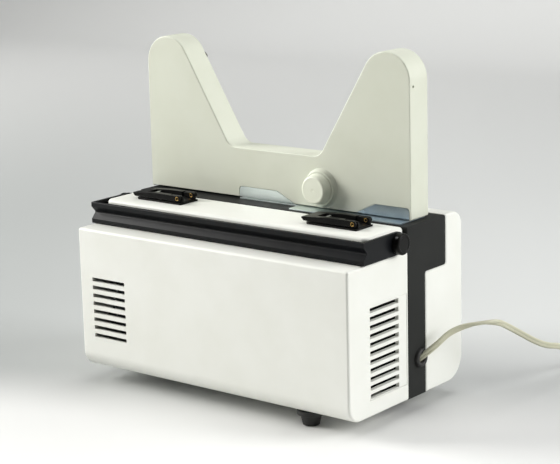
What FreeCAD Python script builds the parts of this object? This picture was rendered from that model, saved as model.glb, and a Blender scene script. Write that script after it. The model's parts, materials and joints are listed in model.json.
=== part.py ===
import FreeCAD, Part
import math
import os

os.makedirs("parts", exist_ok=True)

# Portable cine projector with two raised reel arms.
# +X points to the lamp end, where the mains lead leaves. +Y points to the film side.
# +Z is up from the surface that the three feet stand on. The origin is in the middle of the footprint.

# Driving dimensions, in millimetres
body_length = 330.0
drive_depth = 92.0
film_depth = 92.0
deck_height = 164.7
foot_height = 15.0
band_depth = 29.4
film_cover_depth = 28.3
casing_wall = 2.8
frame_wall = 3.4
arm_rise = 156.3
arm_valley_rise = 51.5
arm_thickness = 29.0
arm_tip_radius = 26.8
handle_height = 21.4
handle_step = 22.4
deck_beam_height = 47.7
lead_diameter = 6.0

# Clearances, and the overrun that serves every cut
slide_gap = 0.3
shaft_gap = 0.05
panel_gap = 0.5
overrun = 2.0
point_tolerance = 0.001

# Screws of the bracket and of the mechanism plate
screw_radius = 2.0
screw_head_radius = 3.6
screw_head_height = 1.6
screw_inset = 10.0
plate_screw_radius = 1.6
plate_screw_depth = 12.0
plate_screw_head = 3.2
plate_screw_rise = 1.8

# Levels and planes that follow from them
half_length = body_length / 2
deck_depth = film_depth - film_cover_depth
ledge_height = deck_height - handle_step
shelf_height = deck_height - deck_beam_height
z_under = foot_height
z_ledge = z_under + ledge_height
z_shelf = z_under + shelf_height
z_deck = z_under + deck_height

SIDES = (-1, 1)


def point(x, y, z):
    return FreeCAD.Vector(x, y, z)


X_AXIS = point(1, 0, 0)
Y_AXIS = point(0, 1, 0)
Z_AXIS = point(0, 0, 1)
PLANES = {
    "yz": (lambda u, v, w: point(w, u, v), X_AXIS),
    "xz": (lambda u, v, w: point(u, w, v), Y_AXIS),
    "xy": (lambda u, v, w: point(u, v, w), Z_AXIS),
}


def block(x0, x1, y0, y1, z0, z1):
    """A box between two corners."""
    return Part.makeBox(x1 - x0, y1 - y0, z1 - z0, point(x0, y0, z0))


def rod(radius, start, end):
    """A round bar between two points."""
    axis = end - start
    return Part.makeCylinder(radius, axis.Length, start, axis)


def ring(outer, inner, start, end):
    """A round tube between two points."""
    return rod(outer, start, end).cut(rod(inner, start, end))


def corner_arc(before, corner, after, radius):
    """Start, middle and end of the arc that rounds one corner."""
    back = (before - corner).normalize()
    ahead = (after - corner).normalize()
    half_angle = back.getAngle(ahead) / 2
    bisector = (back + ahead).normalize()
    reach = radius / math.tan(half_angle)
    centre = corner + bisector * (radius / math.sin(half_angle))
    return corner + back * reach, centre - bisector * radius, corner + ahead * reach


def rounded_wire(spots, radii):
    """A closed wire through the spots, each corner rounded by its radius."""
    stations = []
    for index, radius in enumerate(radii):
        after = spots[(index + 1) % len(spots)]
        if radius > 0:
            stations.append(corner_arc(spots[index - 1], spots[index], after, radius))
        else:
            stations.append((spots[index], spots[index], spots[index]))
    edges = []
    for index, (start, middle, end) in enumerate(stations):
        following = stations[(index + 1) % len(stations)][0]
        if (end - start).Length > point_tolerance:
            edges.append(Part.Arc(start, middle, end).toShape())
        if (following - end).Length > point_tolerance:
            edges.append(Part.LineSegment(end, following).toShape())
    return Part.Wire(edges)


def prism(plane, corners, start, end):
    """A solid from start to end across a plane; corners are (u, v, radius)."""
    place, normal = PLANES[plane]
    spots = [place(u, v, start) for u, v, radius in corners]
    face = Part.Face(rounded_wire(spots, [radius for u, v, radius in corners]))
    return face.extrude(normal * (end - start))


def lathe(base, axis, side, profile):
    """A turned solid; profile is (radius, height, corner radius) from base along axis."""
    spots = [base + side * radius + axis * height for radius, height, corner in profile]
    face = Part.Face(rounded_wire(spots, [corner for radius, height, corner in profile]))
    return face.revolve(base, axis, 360)


def fuse(shapes):
    """One solid from shapes that overlap or share faces."""
    whole = shapes[0]
    if len(shapes) > 1:
        whole = shapes[0].multiFuse(shapes[1:])
    return whole.removeSplitter()


def cut(shape, tools):
    return shape.cut(Part.makeCompound(tools)) if tools else shape


def round_edges(shape, radius, wanted):
    """Fillet the edges whose two ends and middle all pass the test."""
    chosen = []
    for edge in shape.Edges:
        middle = edge.valueAt((edge.FirstParameter + edge.LastParameter) / 2)
        spots = [vertex.Point for vertex in edge.Vertexes] + [middle]
        if all(wanted(spot) for spot in spots):
            chosen.append(edge)
    return shape.makeFillet(radius, chosen)


def near(value, target):
    return abs(value - target) < shaft_gap


def round_ends(shape, end, seam):
    """Fillet a casing's two end outlines, except along its seam."""
    chosen = []
    for edge in shape.Edges:
        middle = edge.valueAt((edge.FirstParameter + edge.LastParameter) / 2)
        if near(abs(middle.x), end) and not near(middle.y, seam):
            if all(near(abs(vertex.Point.x), end) for vertex in edge.Vertexes):
                chosen.append(edge)
    return shape.makeFillet(end_edge_radius, chosen)


def loop_outline(centre_a, radius_a, centre_b, radius_b, place):
    """A closed wire round two circles, as a belt runs."""
    ax, az = centre_a
    bx, bz = centre_b
    span = math.hypot(bx - ax, bz - az)
    heading = math.atan2(bz - az, bx - ax)
    lean = math.acos((radius_a - radius_b) / span)

    def spot(centre, radius, angle):
        return place(centre[0] + radius * math.cos(angle), centre[1] + radius * math.sin(angle))

    upper, lower = heading + lean, heading - lean
    far_b, far_a = heading, heading + math.pi
    return Part.Wire([
        Part.Arc(spot(centre_b, radius_b, lower), spot(centre_b, radius_b, far_b),
                 spot(centre_b, radius_b, upper)).toShape(),
        Part.LineSegment(spot(centre_b, radius_b, upper), spot(centre_a, radius_a, upper)).toShape(),
        Part.Arc(spot(centre_a, radius_a, upper), spot(centre_a, radius_a, far_a),
                 spot(centre_a, radius_a, lower)).toShape(),
        Part.LineSegment(spot(centre_a, radius_a, lower), spot(centre_b, radius_b, lower)).toShape(),
    ])


def belt(plane, centre_a, radius_a, centre_b, radius_b, start, end):
    """A flat belt of one thickness round two pulleys."""
    place, normal = PLANES[plane]
    solids = []
    for extra in (belt_thickness, 0):
        wire = loop_outline(centre_a, radius_a + slide_gap + extra, centre_b, radius_b + slide_gap + extra,
                            lambda u, v: place(u, v, start))
        solids.append(Part.Face(wire).extrude(normal * (end - start)))
    return solids[0].cut(solids[1])


def pulley(base, axis, side, groove_radius, bore):
    """A grooved wheel, pulley_width wide from base along axis."""
    rim = groove_radius + pulley_flange
    lip = (pulley_width - belt_width) / 2 - slide_gap
    profile = [(bore, 0, 0), (rim, 0, 0), (rim, lip, 0), (groove_radius, lip, 0),
               (groove_radius, pulley_width - lip, 0), (rim, pulley_width - lip, 0),
               (rim, pulley_width, 0), (bore, pulley_width, 0)]
    return lathe(base, axis, side, profile)


NODES = {}


def keep(name, *shapes):
    """Name one piece, or one group of like pieces."""
    NODES[name] = shapes[0] if len(shapes) == 1 else Part.makeCompound(list(shapes))


# Centre frame: the black cast band between the two casings, with the deck that carries the arms
web_thickness = 4.0
band_corner = 2.5
gland_height = 36.5
gland_y = 19.5
gland_hole_radius = 6.2
film_slot_length = 16.0
film_slot_width = 9.0
film_slot_inset = 65.0
film_slot_x = half_length - film_slot_inset
film_plane_y = 56.0
lens_height_share = 0.564103
lens_height = shelf_height * lens_height_share
shaft_y = 14.0
z_lens = z_under + lens_height
z_gland = z_under + gland_height
shutter_margin = 6.0
shutter_radius = shelf_height - lens_height - shutter_margin
shutter_inset = 99.0
shutter_x = shutter_inset - half_length
shutter_thickness = 1.2
shutter_clearance = 2.5
shutter_pulley_offset = 17.5
shutter_pulley_x = shutter_x + shutter_pulley_offset
pulley_width = 8.0
pulley_flange = 1.8
belt_width = 4.0
belt_thickness = 1.6
shutter_groove_radius = 8.5
motor_groove_radius = 11.0


def centre_frame():
    corners = [(0, z_under, 0), (band_depth, z_under, 0), (band_depth, z_shelf, band_corner),
               (deck_depth, z_shelf, band_corner), (deck_depth, z_deck, band_corner), (0, z_deck, 0)]
    body = prism("yz", corners, -half_length, half_length)
    inside = half_length - frame_wall
    lower = block(-inside, inside, web_thickness, band_depth + overrun, z_under + frame_wall, z_shelf)
    upper = block(-inside, inside, web_thickness, deck_depth - frame_wall,
                  z_shelf + frame_wall, z_deck - frame_wall)
    passage = block(-inside, inside, web_thickness, band_depth - frame_wall,
                    z_shelf - overrun, z_shelf + frame_wall + overrun)
    tools = [lower, upper, passage, shutter_slot(-overrun, web_thickness + overrun)]
    belt_half = pulley_width / 2 + shutter_clearance
    belt_x = shutter_pulley_x + pulley_width / 2
    belt_rise = motor_groove_radius + pulley_flange + shutter_clearance
    tools.append(block(belt_x - belt_half, belt_x + belt_half, -overrun, web_thickness + overrun,
                       z_lens - belt_rise, z_lens + belt_rise))
    tools.append(rod(gland_hole_radius, point(half_length - frame_wall - overrun, gland_y, z_gland),
                     point(half_length + overrun, gland_y, z_gland)))
    for side in SIDES:
        middle = side * film_slot_x
        tools.append(block(middle - film_slot_length / 2, middle + film_slot_length / 2,
                           film_plane_y - film_slot_width / 2, film_plane_y + film_slot_width / 2,
                           z_shelf - overrun, z_deck + overrun))
    return cut(fuse([cut(body, tools)] + frame_pillars()), frame_bores())


def frame_pillars():
    """Pillars from the web that carry the mechanism plate."""
    return [rod(pillar_radius, point(x, web_thickness - overrun, z), point(x, band_depth, z))
            for x, z in pillar_places()]


def frame_bores():
    """Holes for the plate's screws, the bracket's screws and the sprocket shafts."""
    bores = []
    for x, z in pillar_places():
        bores.append(rod(plate_screw_radius, point(x, band_depth - plate_screw_depth, z),
                         point(x, band_depth + overrun, z)))
    for x, y in bracket_screw_places():
        bores.append(rod(screw_radius, point(x, y, z_deck - frame_wall - overrun),
                         point(x, y, z_deck + overrun)))
    for z in sprocket_levels():
        bores.append(rod(sprocket_shaft_radius + shaft_gap, point(sprocket_x, -overrun, z),
                         point(sprocket_x, web_thickness + overrun, z)))
    return bores


def shutter_slot(y0, y1):
    half = shutter_thickness / 2 + shutter_clearance
    reach = shutter_radius + shutter_clearance
    return block(shutter_x - half, shutter_x + half, y0, y1, z_lens - reach, z_lens + reach)


# Drive side casing: one white moulding with the handle's ledge and the raised top block
under_corner_radius = 17.0
ledge_corner_radius = 2.8
end_edge_radius = 2.4
top_block_inset = 4.0
top_block_half = half_length - top_block_inset
top_block_share = 0.608696
top_block_depth = drive_depth * top_block_share
top_block_corner = 8.0
top_edge_radius = 3.0
top_rear_corner = 3.0
vent_count = 8
vent_pitch = 8.13
vent_slot_height = 3.6
vent_slot_length = 43.0
vent_left_margin = 16.8
vent_first_height = 92.0
grille_depth = 59.0
grille_height = 87.6
grille_low = 15.6
grille_rear_margin = 1.4


def drive_side_form(inset, back):
    """The casing's outer form, or its hollow where inset is a wall's thickness."""
    front = -(drive_depth - inset)
    end = half_length - inset
    ledge = z_ledge - inset
    lower = prism("yz", [(back, z_under + inset, 0), (front, z_under + inset, under_corner_radius - inset),
                         (front, ledge, max(ledge_corner_radius - inset, 0)), (back, ledge, 0)], -end, end)
    half = top_block_half - inset
    fore = -(top_block_depth - inset)
    corner = top_block_corner - inset
    rear_corner = top_rear_corner if inset == 0 else 0
    upper = prism("xy", [(-half, back, rear_corner), (-half, fore, corner), (half, fore, corner),
                         (half, back, rear_corner)], z_ledge - casing_wall - inset, z_deck - inset)
    if inset == 0:
        lower = round_ends(lower, end, back)
        upper = round_edges(upper, top_edge_radius, lambda p: near(p.z, z_deck))
    return fuse([lower, upper])


def drive_side_casing():
    shell = drive_side_form(0, 0).cut(drive_side_form(casing_wall, overrun))
    tools = []
    left = -half_length + vent_left_margin
    for index in range(vent_count):
        middle = z_under + vent_first_height - index * vent_pitch
        tools.append(block(left, left + vent_slot_length, -drive_depth - overrun,
                           -drive_depth + casing_wall + overrun,
                           middle - vent_slot_height / 2, middle + vent_slot_height / 2))
    low = z_under + grille_low
    tools.append(block(half_length - casing_wall - overrun, half_length + overrun,
                       -grille_rear_margin - grille_depth, -grille_rear_margin,
                       low, low + grille_height))
    for side in SIDES:
        near, far = side * (half_length - pivot_root), side * (half_length + overrun)
        tools.append(rod(pivot_radius, point(near, handle_axis_y, z_handle_axis),
                         point(far, handle_axis_y, z_handle_axis)))
    return cut(shell, tools)


# Exhaust grille: a thick snap-in insert in the lamp end of the drive side casing, whose slots have
# sloping floors
louvre_count = 11
louvre_pitch = 8.04
louvre_slot_height = 4.5
louvre_slot_length = 44.6
louvre_fore_margin = 1.2
louvre_first_drop = 3.5
louvre_rise = 0.9
grille_thickness = 4.0


def exhaust_grille():
    outer = half_length - panel_gap / 2
    inner = outer - grille_thickness
    fore = -grille_rear_margin - grille_depth + slide_gap
    low = z_under + grille_low + slide_gap
    high = z_under + grille_low + grille_height - slide_gap
    plate = block(inner, outer, fore, -grille_rear_margin - slide_gap, low, high)
    y0 = fore + louvre_fore_margin
    y1 = y0 + louvre_slot_length
    slots = []
    for index in range(louvre_count):
        top = high - louvre_first_drop - index * louvre_pitch + louvre_slot_height / 2
        bottom = top - louvre_slot_height
        slots.append(prism("xz", [(outer + overrun, bottom, 0), (outer + overrun, top, 0),
                                  (inner - overrun, top, 0), (inner - overrun, bottom + louvre_rise, 0),
                                  (inner, bottom + louvre_rise, 0), (outer, bottom, 0)], y0, y1))
    return cut(plate, slots)


# Film side casing: the white rear moulding, L-shaped in end view, with the door's opening
rear_under_radius = 24.0
rear_top_share = 0.494700
rear_top_radius = film_cover_depth * rear_top_share
door_left_inset = 33.0
door_right_inset = 81.0
door_left = door_left_inset - half_length
door_right = half_length - door_right_inset
door_low = 26.0
door_top_inset = 30.7
door_high = deck_height - door_top_inset
lens_window_radius = 21.0
panel_inset = 15.0
panel_width = 52.0
panel_right = half_length - panel_inset
panel_left = panel_right - panel_width
panel_low = 32.0
panel_high = door_high
panel_depth = 13.0


def film_side_form(inset, back):
    """The rear casing's outer form, or its hollow where inset is a wall's thickness."""
    end = half_length - inset
    rear = film_depth - inset
    seam = deck_depth + inset
    under_shelf = z_shelf - inset
    corner = band_corner if inset == 0 else 0
    corners = [(back, z_under + inset, 0), (rear, z_under + inset, rear_under_radius - inset),
               (rear, z_deck - inset, rear_top_radius - inset), (seam, z_deck - inset, 0),
               (seam, under_shelf, corner), (back, under_shelf, corner)]
    return prism("yz", corners, -end, end)


def film_side_casing():
    outer = round_rear_ends(film_side_form(0, band_depth))
    shell = outer.cut(film_side_form(casing_wall, band_depth - overrun))
    rear0 = film_depth - casing_wall - overrun
    rear1 = film_depth + overrun
    tools = [block(door_left - panel_gap, door_right + panel_gap, rear0, rear1,
                   z_under + door_low - panel_gap, z_under + door_high + panel_gap),
             block(panel_left, panel_right, rear0, rear1, z_under + panel_low, z_under + panel_high),
             rod(lens_window_radius, point(-half_length - overrun, film_plane_y, z_lens),
                 point(-half_length + casing_wall + overrun, film_plane_y, z_lens))]
    for side in SIDES:
        middle = side * film_slot_x
        tools.append(block(middle - film_slot_length / 2, middle + film_slot_length / 2,
                           film_plane_y - film_slot_width / 2, film_plane_y + film_slot_width / 2,
                           z_shelf - casing_wall - overrun, z_shelf + overrun))
    return fuse([cut(shell, tools)] + casing_knuckles())


def round_rear_ends(shape):
    """Fillet the rear casing's end outlines where they show, from the underside to the top."""
    chosen = []
    for edge in shape.Edges:
        middle = edge.valueAt((edge.FirstParameter + edge.LastParameter) / 2)
        at_end = all(near(abs(vertex.Point.x), half_length) for vertex in edge.Vertexes)
        if near(abs(middle.x), half_length) and at_end:
            seam = near(middle.y, band_depth) or near(middle.y, deck_depth) or near(middle.z, z_shelf)
            if not seam and middle.y > band_depth + band_corner and middle.z != z_shelf:
                chosen.append(edge)
    chosen = [edge for edge in chosen if not z_shelf - band_corner * 2 < edge.CenterOfMass.z < z_shelf]
    return shape.makeFillet(end_edge_radius, chosen)


# Film door: the hinged cover over the film path, with its two pins and its sliding catch
door_thickness = 2.8
knuckle_radius = 2.7
knuckle_length = 12.0
hinge_pin_radius = 1.1
pin_tail = 6.0
casing_knuckle_shares = (0.16, 0.84)
catch_width = 22.0
catch_height = 8.0
catch_travel = 3.5
catch_drop = 14.0
catch_thickness = 2.0
door_rib = 5.0
y_hinge = film_depth - knuckle_radius
z_hinge = z_under + door_low + knuckle_radius


def knuckle_centres():
    return [door_left + share * (door_right - door_left) for share in casing_knuckle_shares]


def casing_knuckles():
    """The casing's hinge knuckles, each tied to the wall below it by a short web."""
    pieces = []
    for middle in knuckle_centres():
        start = point(middle - knuckle_length / 2, y_hinge, z_hinge)
        end = point(middle + knuckle_length / 2, y_hinge, z_hinge)
        barrel = rod(knuckle_radius, start, end)
        foot = block(start.x, end.x, film_depth - casing_wall, film_depth,
                     z_under + door_low - panel_gap - overrun, z_hinge)
        bore = rod(hinge_pin_radius + shaft_gap, start - X_AXIS * overrun, end + X_AXIS * overrun)
        pieces.append(fuse([barrel, foot]).cut(bore))
    return pieces


def film_door():
    y0 = film_depth - door_thickness
    top = z_under + door_high
    plate = block(door_left, door_right, y0, film_depth, z_hinge, top)
    barrel = rod(knuckle_radius, point(door_left, y_hinge, z_hinge), point(door_right, y_hinge, z_hinge))
    rib_drop = catch_drop + catch_height + catch_travel
    rib = block(door_left + door_rib * 2, door_right - door_rib * 2, y0 - door_rib, y0,
                top - rib_drop * 2, top - rib_drop * 2 + door_thickness)
    body = fuse([plate, barrel, rib])
    tools = []
    for middle in knuckle_centres():
        half = knuckle_length / 2 + slide_gap
        room = knuckle_radius + slide_gap
        tools.append(block(middle - half, middle + half, y_hinge - room, film_depth + overrun,
                           z_hinge - room, z_hinge + room))
        pin_half = half + pin_tail
        tools.append(rod(hinge_pin_radius, point(middle - pin_half, y_hinge, z_hinge),
                         point(middle + pin_half, y_hinge, z_hinge)))
    tools.append(catch_window(y0 - overrun, film_depth + overrun))
    return cut(body, tools)


def catch_window(y0, y1):
    middle = (door_left + door_right) / 2
    half = catch_width / 2 + slide_gap
    top = z_under + door_high - catch_drop
    return block(middle - half, middle + half, y0, y1, top - catch_height - catch_travel - slide_gap,
                 top + slide_gap)


def door_hinge_pins():
    pins = []
    for middle in knuckle_centres():
        half = knuckle_length / 2 + slide_gap + pin_tail
        pins.append(rod(hinge_pin_radius, point(middle - half, y_hinge, z_hinge),
                        point(middle + half, y_hinge, z_hinge)))
    return pins


def door_catch():
    """Thumb pad in the door's window, with its slide plate and tongue behind the door."""
    middle = (door_left + door_right) / 2
    y_back = film_depth - door_thickness - slide_gap
    top = z_under + door_high - catch_drop
    pad = block(middle - catch_width / 2, middle + catch_width / 2, y_back - catch_thickness,
                film_depth - slide_gap, top - catch_height, top)
    slide = block(middle - catch_width / 2 - door_rib, middle + catch_width / 2 + door_rib,
                  y_back - catch_thickness, y_back, top - catch_height - door_rib,
                  z_under + door_high + panel_gap - slide_gap)
    grooves = []
    step = catch_height / 4
    for index in (1, 2, 3):
        level = top - index * step
        grooves.append(rod(step / 4, point(middle - catch_width, film_depth - slide_gap, level),
                           point(middle + catch_width, film_depth - slide_gap, level)))
    return cut(fuse([pad, slide]), grooves)


# Control panel: a recessed tray in the film side casing, with its knobs and the mains switch
tray_wall = 1.8
selector_share = 0.705882
framing_share = 0.352941
switch_share = 0.117647
selector_height = panel_low + (panel_high - panel_low) * selector_share
framing_height = panel_low + (panel_high - panel_low) * framing_share
switch_height = panel_low + (panel_high - panel_low) * switch_share
selector_radius = 15.0
framing_radius = 10.0
knob_stem_radius = 3.0
knob_height = 10.0
knob_edge = 1.2
knob_foot_gap = 0.6
knob_flutes = 12
flute_radius = 1.6
switch_width = 16.0
switch_length = 11.0
switch_end_gap = 0.6
switch_throw = 1.6
switch_depth = 8.0
switch_pivot_radius = 1.0
switch_pivot_drop = 1.5
switch_pivot_length = 1.6
switch_rim = 3.0
switch_rim_depth = 3.4
y_tray = film_depth - panel_depth
x_panel = (panel_left + panel_right) / 2
PANEL_KNOBS = (("selector_knob", selector_radius, selector_height),
               ("framing_knob", framing_radius, framing_height))


def control_tray():
    x0, x1 = panel_left + slide_gap, panel_right - slide_gap
    z0, z1 = z_under + panel_low + slide_gap, z_under + panel_high - slide_gap
    half_width, half_length_z = switch_width / 2 + slide_gap, switch_length / 2 + switch_end_gap
    middle = z_under + switch_height
    tray = block(x0, x1, y_tray - tray_wall, film_depth - panel_gap, z0, z1)
    rim = block(x_panel - half_width - switch_rim, x_panel + half_width + switch_rim,
                y_tray - switch_rim_depth, y_tray, middle - half_length_z, middle + half_length_z)
    hollow = block(x0 + tray_wall, x1 - tray_wall, y_tray, film_depth + overrun,
                   z0 + tray_wall, z1 - tray_wall)
    tools = [hollow]
    for name, radius, height in PANEL_KNOBS:
        z = z_under + height
        tools.append(rod(knob_stem_radius + shaft_gap, point(x_panel, y_tray - tray_wall - overrun, z),
                         point(x_panel, y_tray + overrun, z)))
    tools.append(block(x_panel - half_width, x_panel + half_width, y_tray - switch_rim_depth - overrun,
                       y_tray + overrun, middle - half_length_z, middle + half_length_z))
    tools.append(switch_pivot(switch_pivot_radius + shaft_gap, switch_pivot_length + slide_gap))
    return cut(fuse([tray, rim]), tools)


def switch_pivot(radius, length):
    """The rocker's pivot across its middle, or its bore in the tray's rim."""
    reach = switch_width / 2 + length
    y, z = y_tray - switch_pivot_drop, z_under + switch_height
    return rod(radius, point(x_panel - reach, y, z), point(x_panel + reach, y, z))


def panel_knob(radius, height):
    base = point(x_panel, y_tray + knob_foot_gap, z_under + height)
    body = lathe(base, Y_AXIS, X_AXIS, [(0, 0, 0), (radius, 0, 0), (radius, knob_height, knob_edge),
                                        (0, knob_height, 0)])
    flutes = []
    for index in range(knob_flutes):
        angle = 2 * math.pi * index / knob_flutes
        spot = base + X_AXIS * (radius * math.cos(angle)) + Z_AXIS * (radius * math.sin(angle))
        flutes.append(rod(flute_radius, spot - Y_AXIS * overrun, spot + Y_AXIS * (knob_height + overrun)))
    stem = rod(knob_stem_radius, base - Y_AXIS * (knob_foot_gap + tray_wall + knob_height), base)
    return fuse([cut(body, flutes), stem])


def mains_switch():
    """Rocker with two sloping halves, on a pivot across its middle."""
    middle = z_under + switch_height
    half = switch_length / 2
    face = y_tray + switch_throw
    rocker = prism("yz", [
        (y_tray - switch_depth, middle - half / 2, 0), (y_tray, middle - half, 0),
        (face + switch_throw, middle - half, 0), (face, middle, 0), (face, middle + half, 0),
        (y_tray, middle + half, 0), (y_tray - switch_depth, middle + half / 2, 0)],
        x_panel - switch_width / 2, x_panel + switch_width / 2)
    return fuse([rocker, switch_pivot(switch_pivot_radius, switch_pivot_length)])


# Carry handle: a folded bar of even wall with two flat arms, which rests on the casing's ledge
handle_wall = 3.4
handle_channel_depth = 5.5
handle_bar_gap = 5.1
handle_bar_depth = handle_wall + handle_channel_depth
handle_front = top_block_depth + handle_bar_gap + handle_bar_depth
handle_lip = 4.6
handle_fold_radius = 1.6
handle_edge = 0.9
handle_arm_thickness = 3.2
handle_overhang = 1.8
handle_axis_y = -17.0
pivot_radius = 4.0
pivot_root = 12.0
pivot_nose = 4.0
hub_radius = 10.0
hub_reach = 7.2
hub_edge = 1.4
grub_radius = 1.5
grub_proud = 0.3
z_handle = z_ledge + slide_gap
z_handle_axis = z_handle + handle_height / 2
handle_end = half_length + handle_overhang


def handle_fold(face, rim):
    """One face of the folded bar from its lower rim to its upper rim."""
    top = z_handle + handle_height
    return [(face, z_handle, rim), (face, z_handle + handle_lip, 0),
            (face + handle_channel_depth, z_handle_axis, handle_fold_radius),
            (face, top - handle_lip, 0), (face, top, rim)]


def carry_handle():
    top = z_handle + handle_height
    fore = handle_fold(-handle_front, handle_edge)
    back = handle_fold(handle_wall - handle_front, handle_edge)
    pieces = [prism("yz", fore + back[::-1], -handle_end, handle_end)]
    round_end = handle_height / 2 - shaft_gap
    for side in SIDES:
        x0, x1 = sorted((side * handle_end, side * (handle_end - handle_arm_thickness)))
        arm = prism("yz", fore + [(handle_axis_y + handle_height / 2, top, round_end),
                                  (handle_axis_y + handle_height / 2, z_handle, round_end)], x0, x1)
        bore = rod(pivot_radius + shaft_gap, point(x0 - overrun, handle_axis_y, z_handle_axis),
                   point(x1 + overrun, handle_axis_y, z_handle_axis))
        pieces.append(arm.cut(bore))
    return fuse(pieces)


def hub_caps():
    caps = []
    for side in SIDES:
        base = point(side * handle_end, handle_axis_y, z_handle_axis)
        axis = X_AXIS * side
        bore = pivot_radius + shaft_gap
        deep = pivot_nose + slide_gap
        caps.append(lathe(base, axis, Y_AXIS, [
            (bore, 0, 0), (hub_radius, 0, 0), (hub_radius, hub_reach, hub_edge),
            (0, hub_reach, 0), (0, deep, 0), (bore, deep, 0)]))
    return [cut(cap, [screw]) for cap, screw in zip(caps, hub_grub_screws())]


def hub_grub_screws():
    screws = []
    lean = (Z_AXIS - Y_AXIS).normalize()
    for side in SIDES:
        seat = point(side * (handle_end + hub_reach / 2), handle_axis_y, z_handle_axis)
        screws.append(rod(grub_radius, seat + lean * (pivot_radius + grub_radius),
                          seat + lean * (hub_radius + grub_proud)))
    return screws


def handle_pivots():
    return [rod(pivot_radius, point(side * (half_length - pivot_root), handle_axis_y, z_handle_axis),
                point(side * (handle_end + pivot_nose), handle_axis_y, z_handle_axis)) for side in SIDES]


# Toggle clips: two alike on the top block, each a base with ears, a lever, brass eyelets and a steel stud
clip_inset = 54.9
clip_centre = top_block_half - clip_inset
clip_length = 59.6
clip_width = 26.0
clip_front_inset = 18.0
clip_front_y = clip_front_inset - top_block_depth
clip_cheek = 2.6
clip_base_thickness = 1.8
clip_ear_length = 15.0
clip_ear_height = 8.4
clip_ear_thickness = 2.2
clip_ear_corner = 2.5
clip_pin_inset = 4.6
clip_pin_height = 5.9
clip_pin_outer = 2.1
clip_pin_bore = 1.0
clip_pin_proud = 0.25
lever_overhang = 4.6
lever_low = 3.0
lever_tip_height = 6.6
lever_top = 8.8
lever_nose = 3.6
lever_heel = 3.7
lever_heel_corner = 2.6
lever_channel_width = 14.0
lever_channel_floor = 4.6
lever_channel_share = 0.24
lever_edge = 0.8
stud_radius = 1.1
stud_share = 0.33
stud_hole_share = 0.42
stud_hole_radius = 1.7
ramp_length = 13.4
ramp_width = 13.6
ramp_high = 4.6
ramp_low = 2.6


def clip_pin_place(middle):
    return middle + clip_length / 2 - clip_pin_inset, z_deck + clip_pin_height


def clip_base(middle):
    x0, x1 = middle - clip_length / 2, middle + clip_length / 2
    y0, y1 = clip_front_y, clip_front_y + clip_width
    plate = prism("xy", [(x0, y0, lever_edge), (x1, y0, lever_edge), (x1, y1, lever_edge),
                         (x0, y1, lever_edge)], z_deck, z_deck + clip_base_thickness)
    ears = []
    top = z_deck + clip_ear_height
    inner = clip_cheek + slide_gap
    ear_x = x1 - clip_ear_length
    for start in (y0 + inner, y1 - inner - clip_ear_thickness):
        ears.append(prism("xz", [(ear_x, z_deck, 0), (x1, z_deck, 0), (x1, top, clip_ear_corner),
                                 (ear_x, top, clip_ear_corner)], start, start + clip_ear_thickness))
    middle_y = (y0 + y1) / 2
    ramp = prism("xz", [(x1 - ramp_length, z_deck, 0), (x1, z_deck, 0), (x1, z_deck + ramp_low, 0),
                        (x1 - ramp_length, z_deck + ramp_high, 0)],
                 middle_y - ramp_width / 2, middle_y + ramp_width / 2)
    pin_x, pin_z = clip_pin_place(middle)
    bore = rod(clip_pin_outer, point(pin_x, y0 - overrun, pin_z), point(pin_x, y1 + overrun, pin_z))
    return fuse([plate, ramp] + ears).cut(bore)


def clip_lever(middle):
    """Lever with a channel along its top, and two cheeks that run on outside the base's ears."""
    x0 = middle - clip_length / 2 - lever_overhang
    ear_x = middle + clip_length / 2 - clip_ear_length - slide_gap
    pin_x, pin_z = clip_pin_place(middle)
    x1 = pin_x + lever_heel
    y0, y1 = clip_front_y, clip_front_y + clip_width
    low, top = z_deck + lever_low, z_deck + lever_top
    span = x1 - x0
    body = prism("xz", [(x0, z_deck + lever_tip_height, lever_edge), (x0 + lever_nose, low, 0),
                        (x1, low, lever_heel_corner), (x1, top, lever_heel_corner),
                        (x0 + span / 2, top, 0)], y0, y1)
    tools = [block(ear_x, x1 + overrun, y0 + clip_cheek, y1 - clip_cheek, low - overrun, top + overrun)]
    mid_y = (y0 + y1) / 2
    floor = z_deck + lever_channel_floor
    tools.append(block(x0 + lever_channel_share * span, ear_x + overrun, mid_y - lever_channel_width / 2,
                       mid_y + lever_channel_width / 2, floor, top + overrun))
    hole_x = x0 + stud_hole_share * span
    tools.append(rod(stud_hole_radius, point(hole_x, mid_y, low - overrun), point(hole_x, mid_y, top)))
    tools.append(rod(clip_pin_outer + shaft_gap, point(pin_x, y0 - overrun, pin_z),
                     point(pin_x, y1 + overrun, pin_z)))
    return cut(body, tools)


def clip_eyelets(middle):
    """Two short hollow rivets, each through a cheek of the lever and an ear of the base."""
    pin_x, pin_z = clip_pin_place(middle)
    reach = clip_cheek + slide_gap + clip_ear_thickness + clip_pin_proud
    eyelets = []
    for outside, side in ((clip_front_y, 1), (clip_front_y + clip_width, -1)):
        start = point(pin_x, outside - side * clip_pin_proud, pin_z)
        end = point(pin_x, outside + side * reach, pin_z)
        eyelets.append(ring(clip_pin_outer, clip_pin_bore, start, end))
    return eyelets


def clip_stud(middle):
    """Small steel cross pin that lies in the lever's channel."""
    x0 = middle - clip_length / 2 - lever_overhang
    stud_x = x0 + stud_share * (clip_length + lever_overhang)
    mid_y = clip_front_y + clip_width / 2
    level = z_deck + lever_channel_floor + stud_radius
    return rod(stud_radius, point(stud_x, mid_y - lever_channel_width / 2, level),
               point(stud_x, mid_y + lever_channel_width / 2, level))


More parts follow.
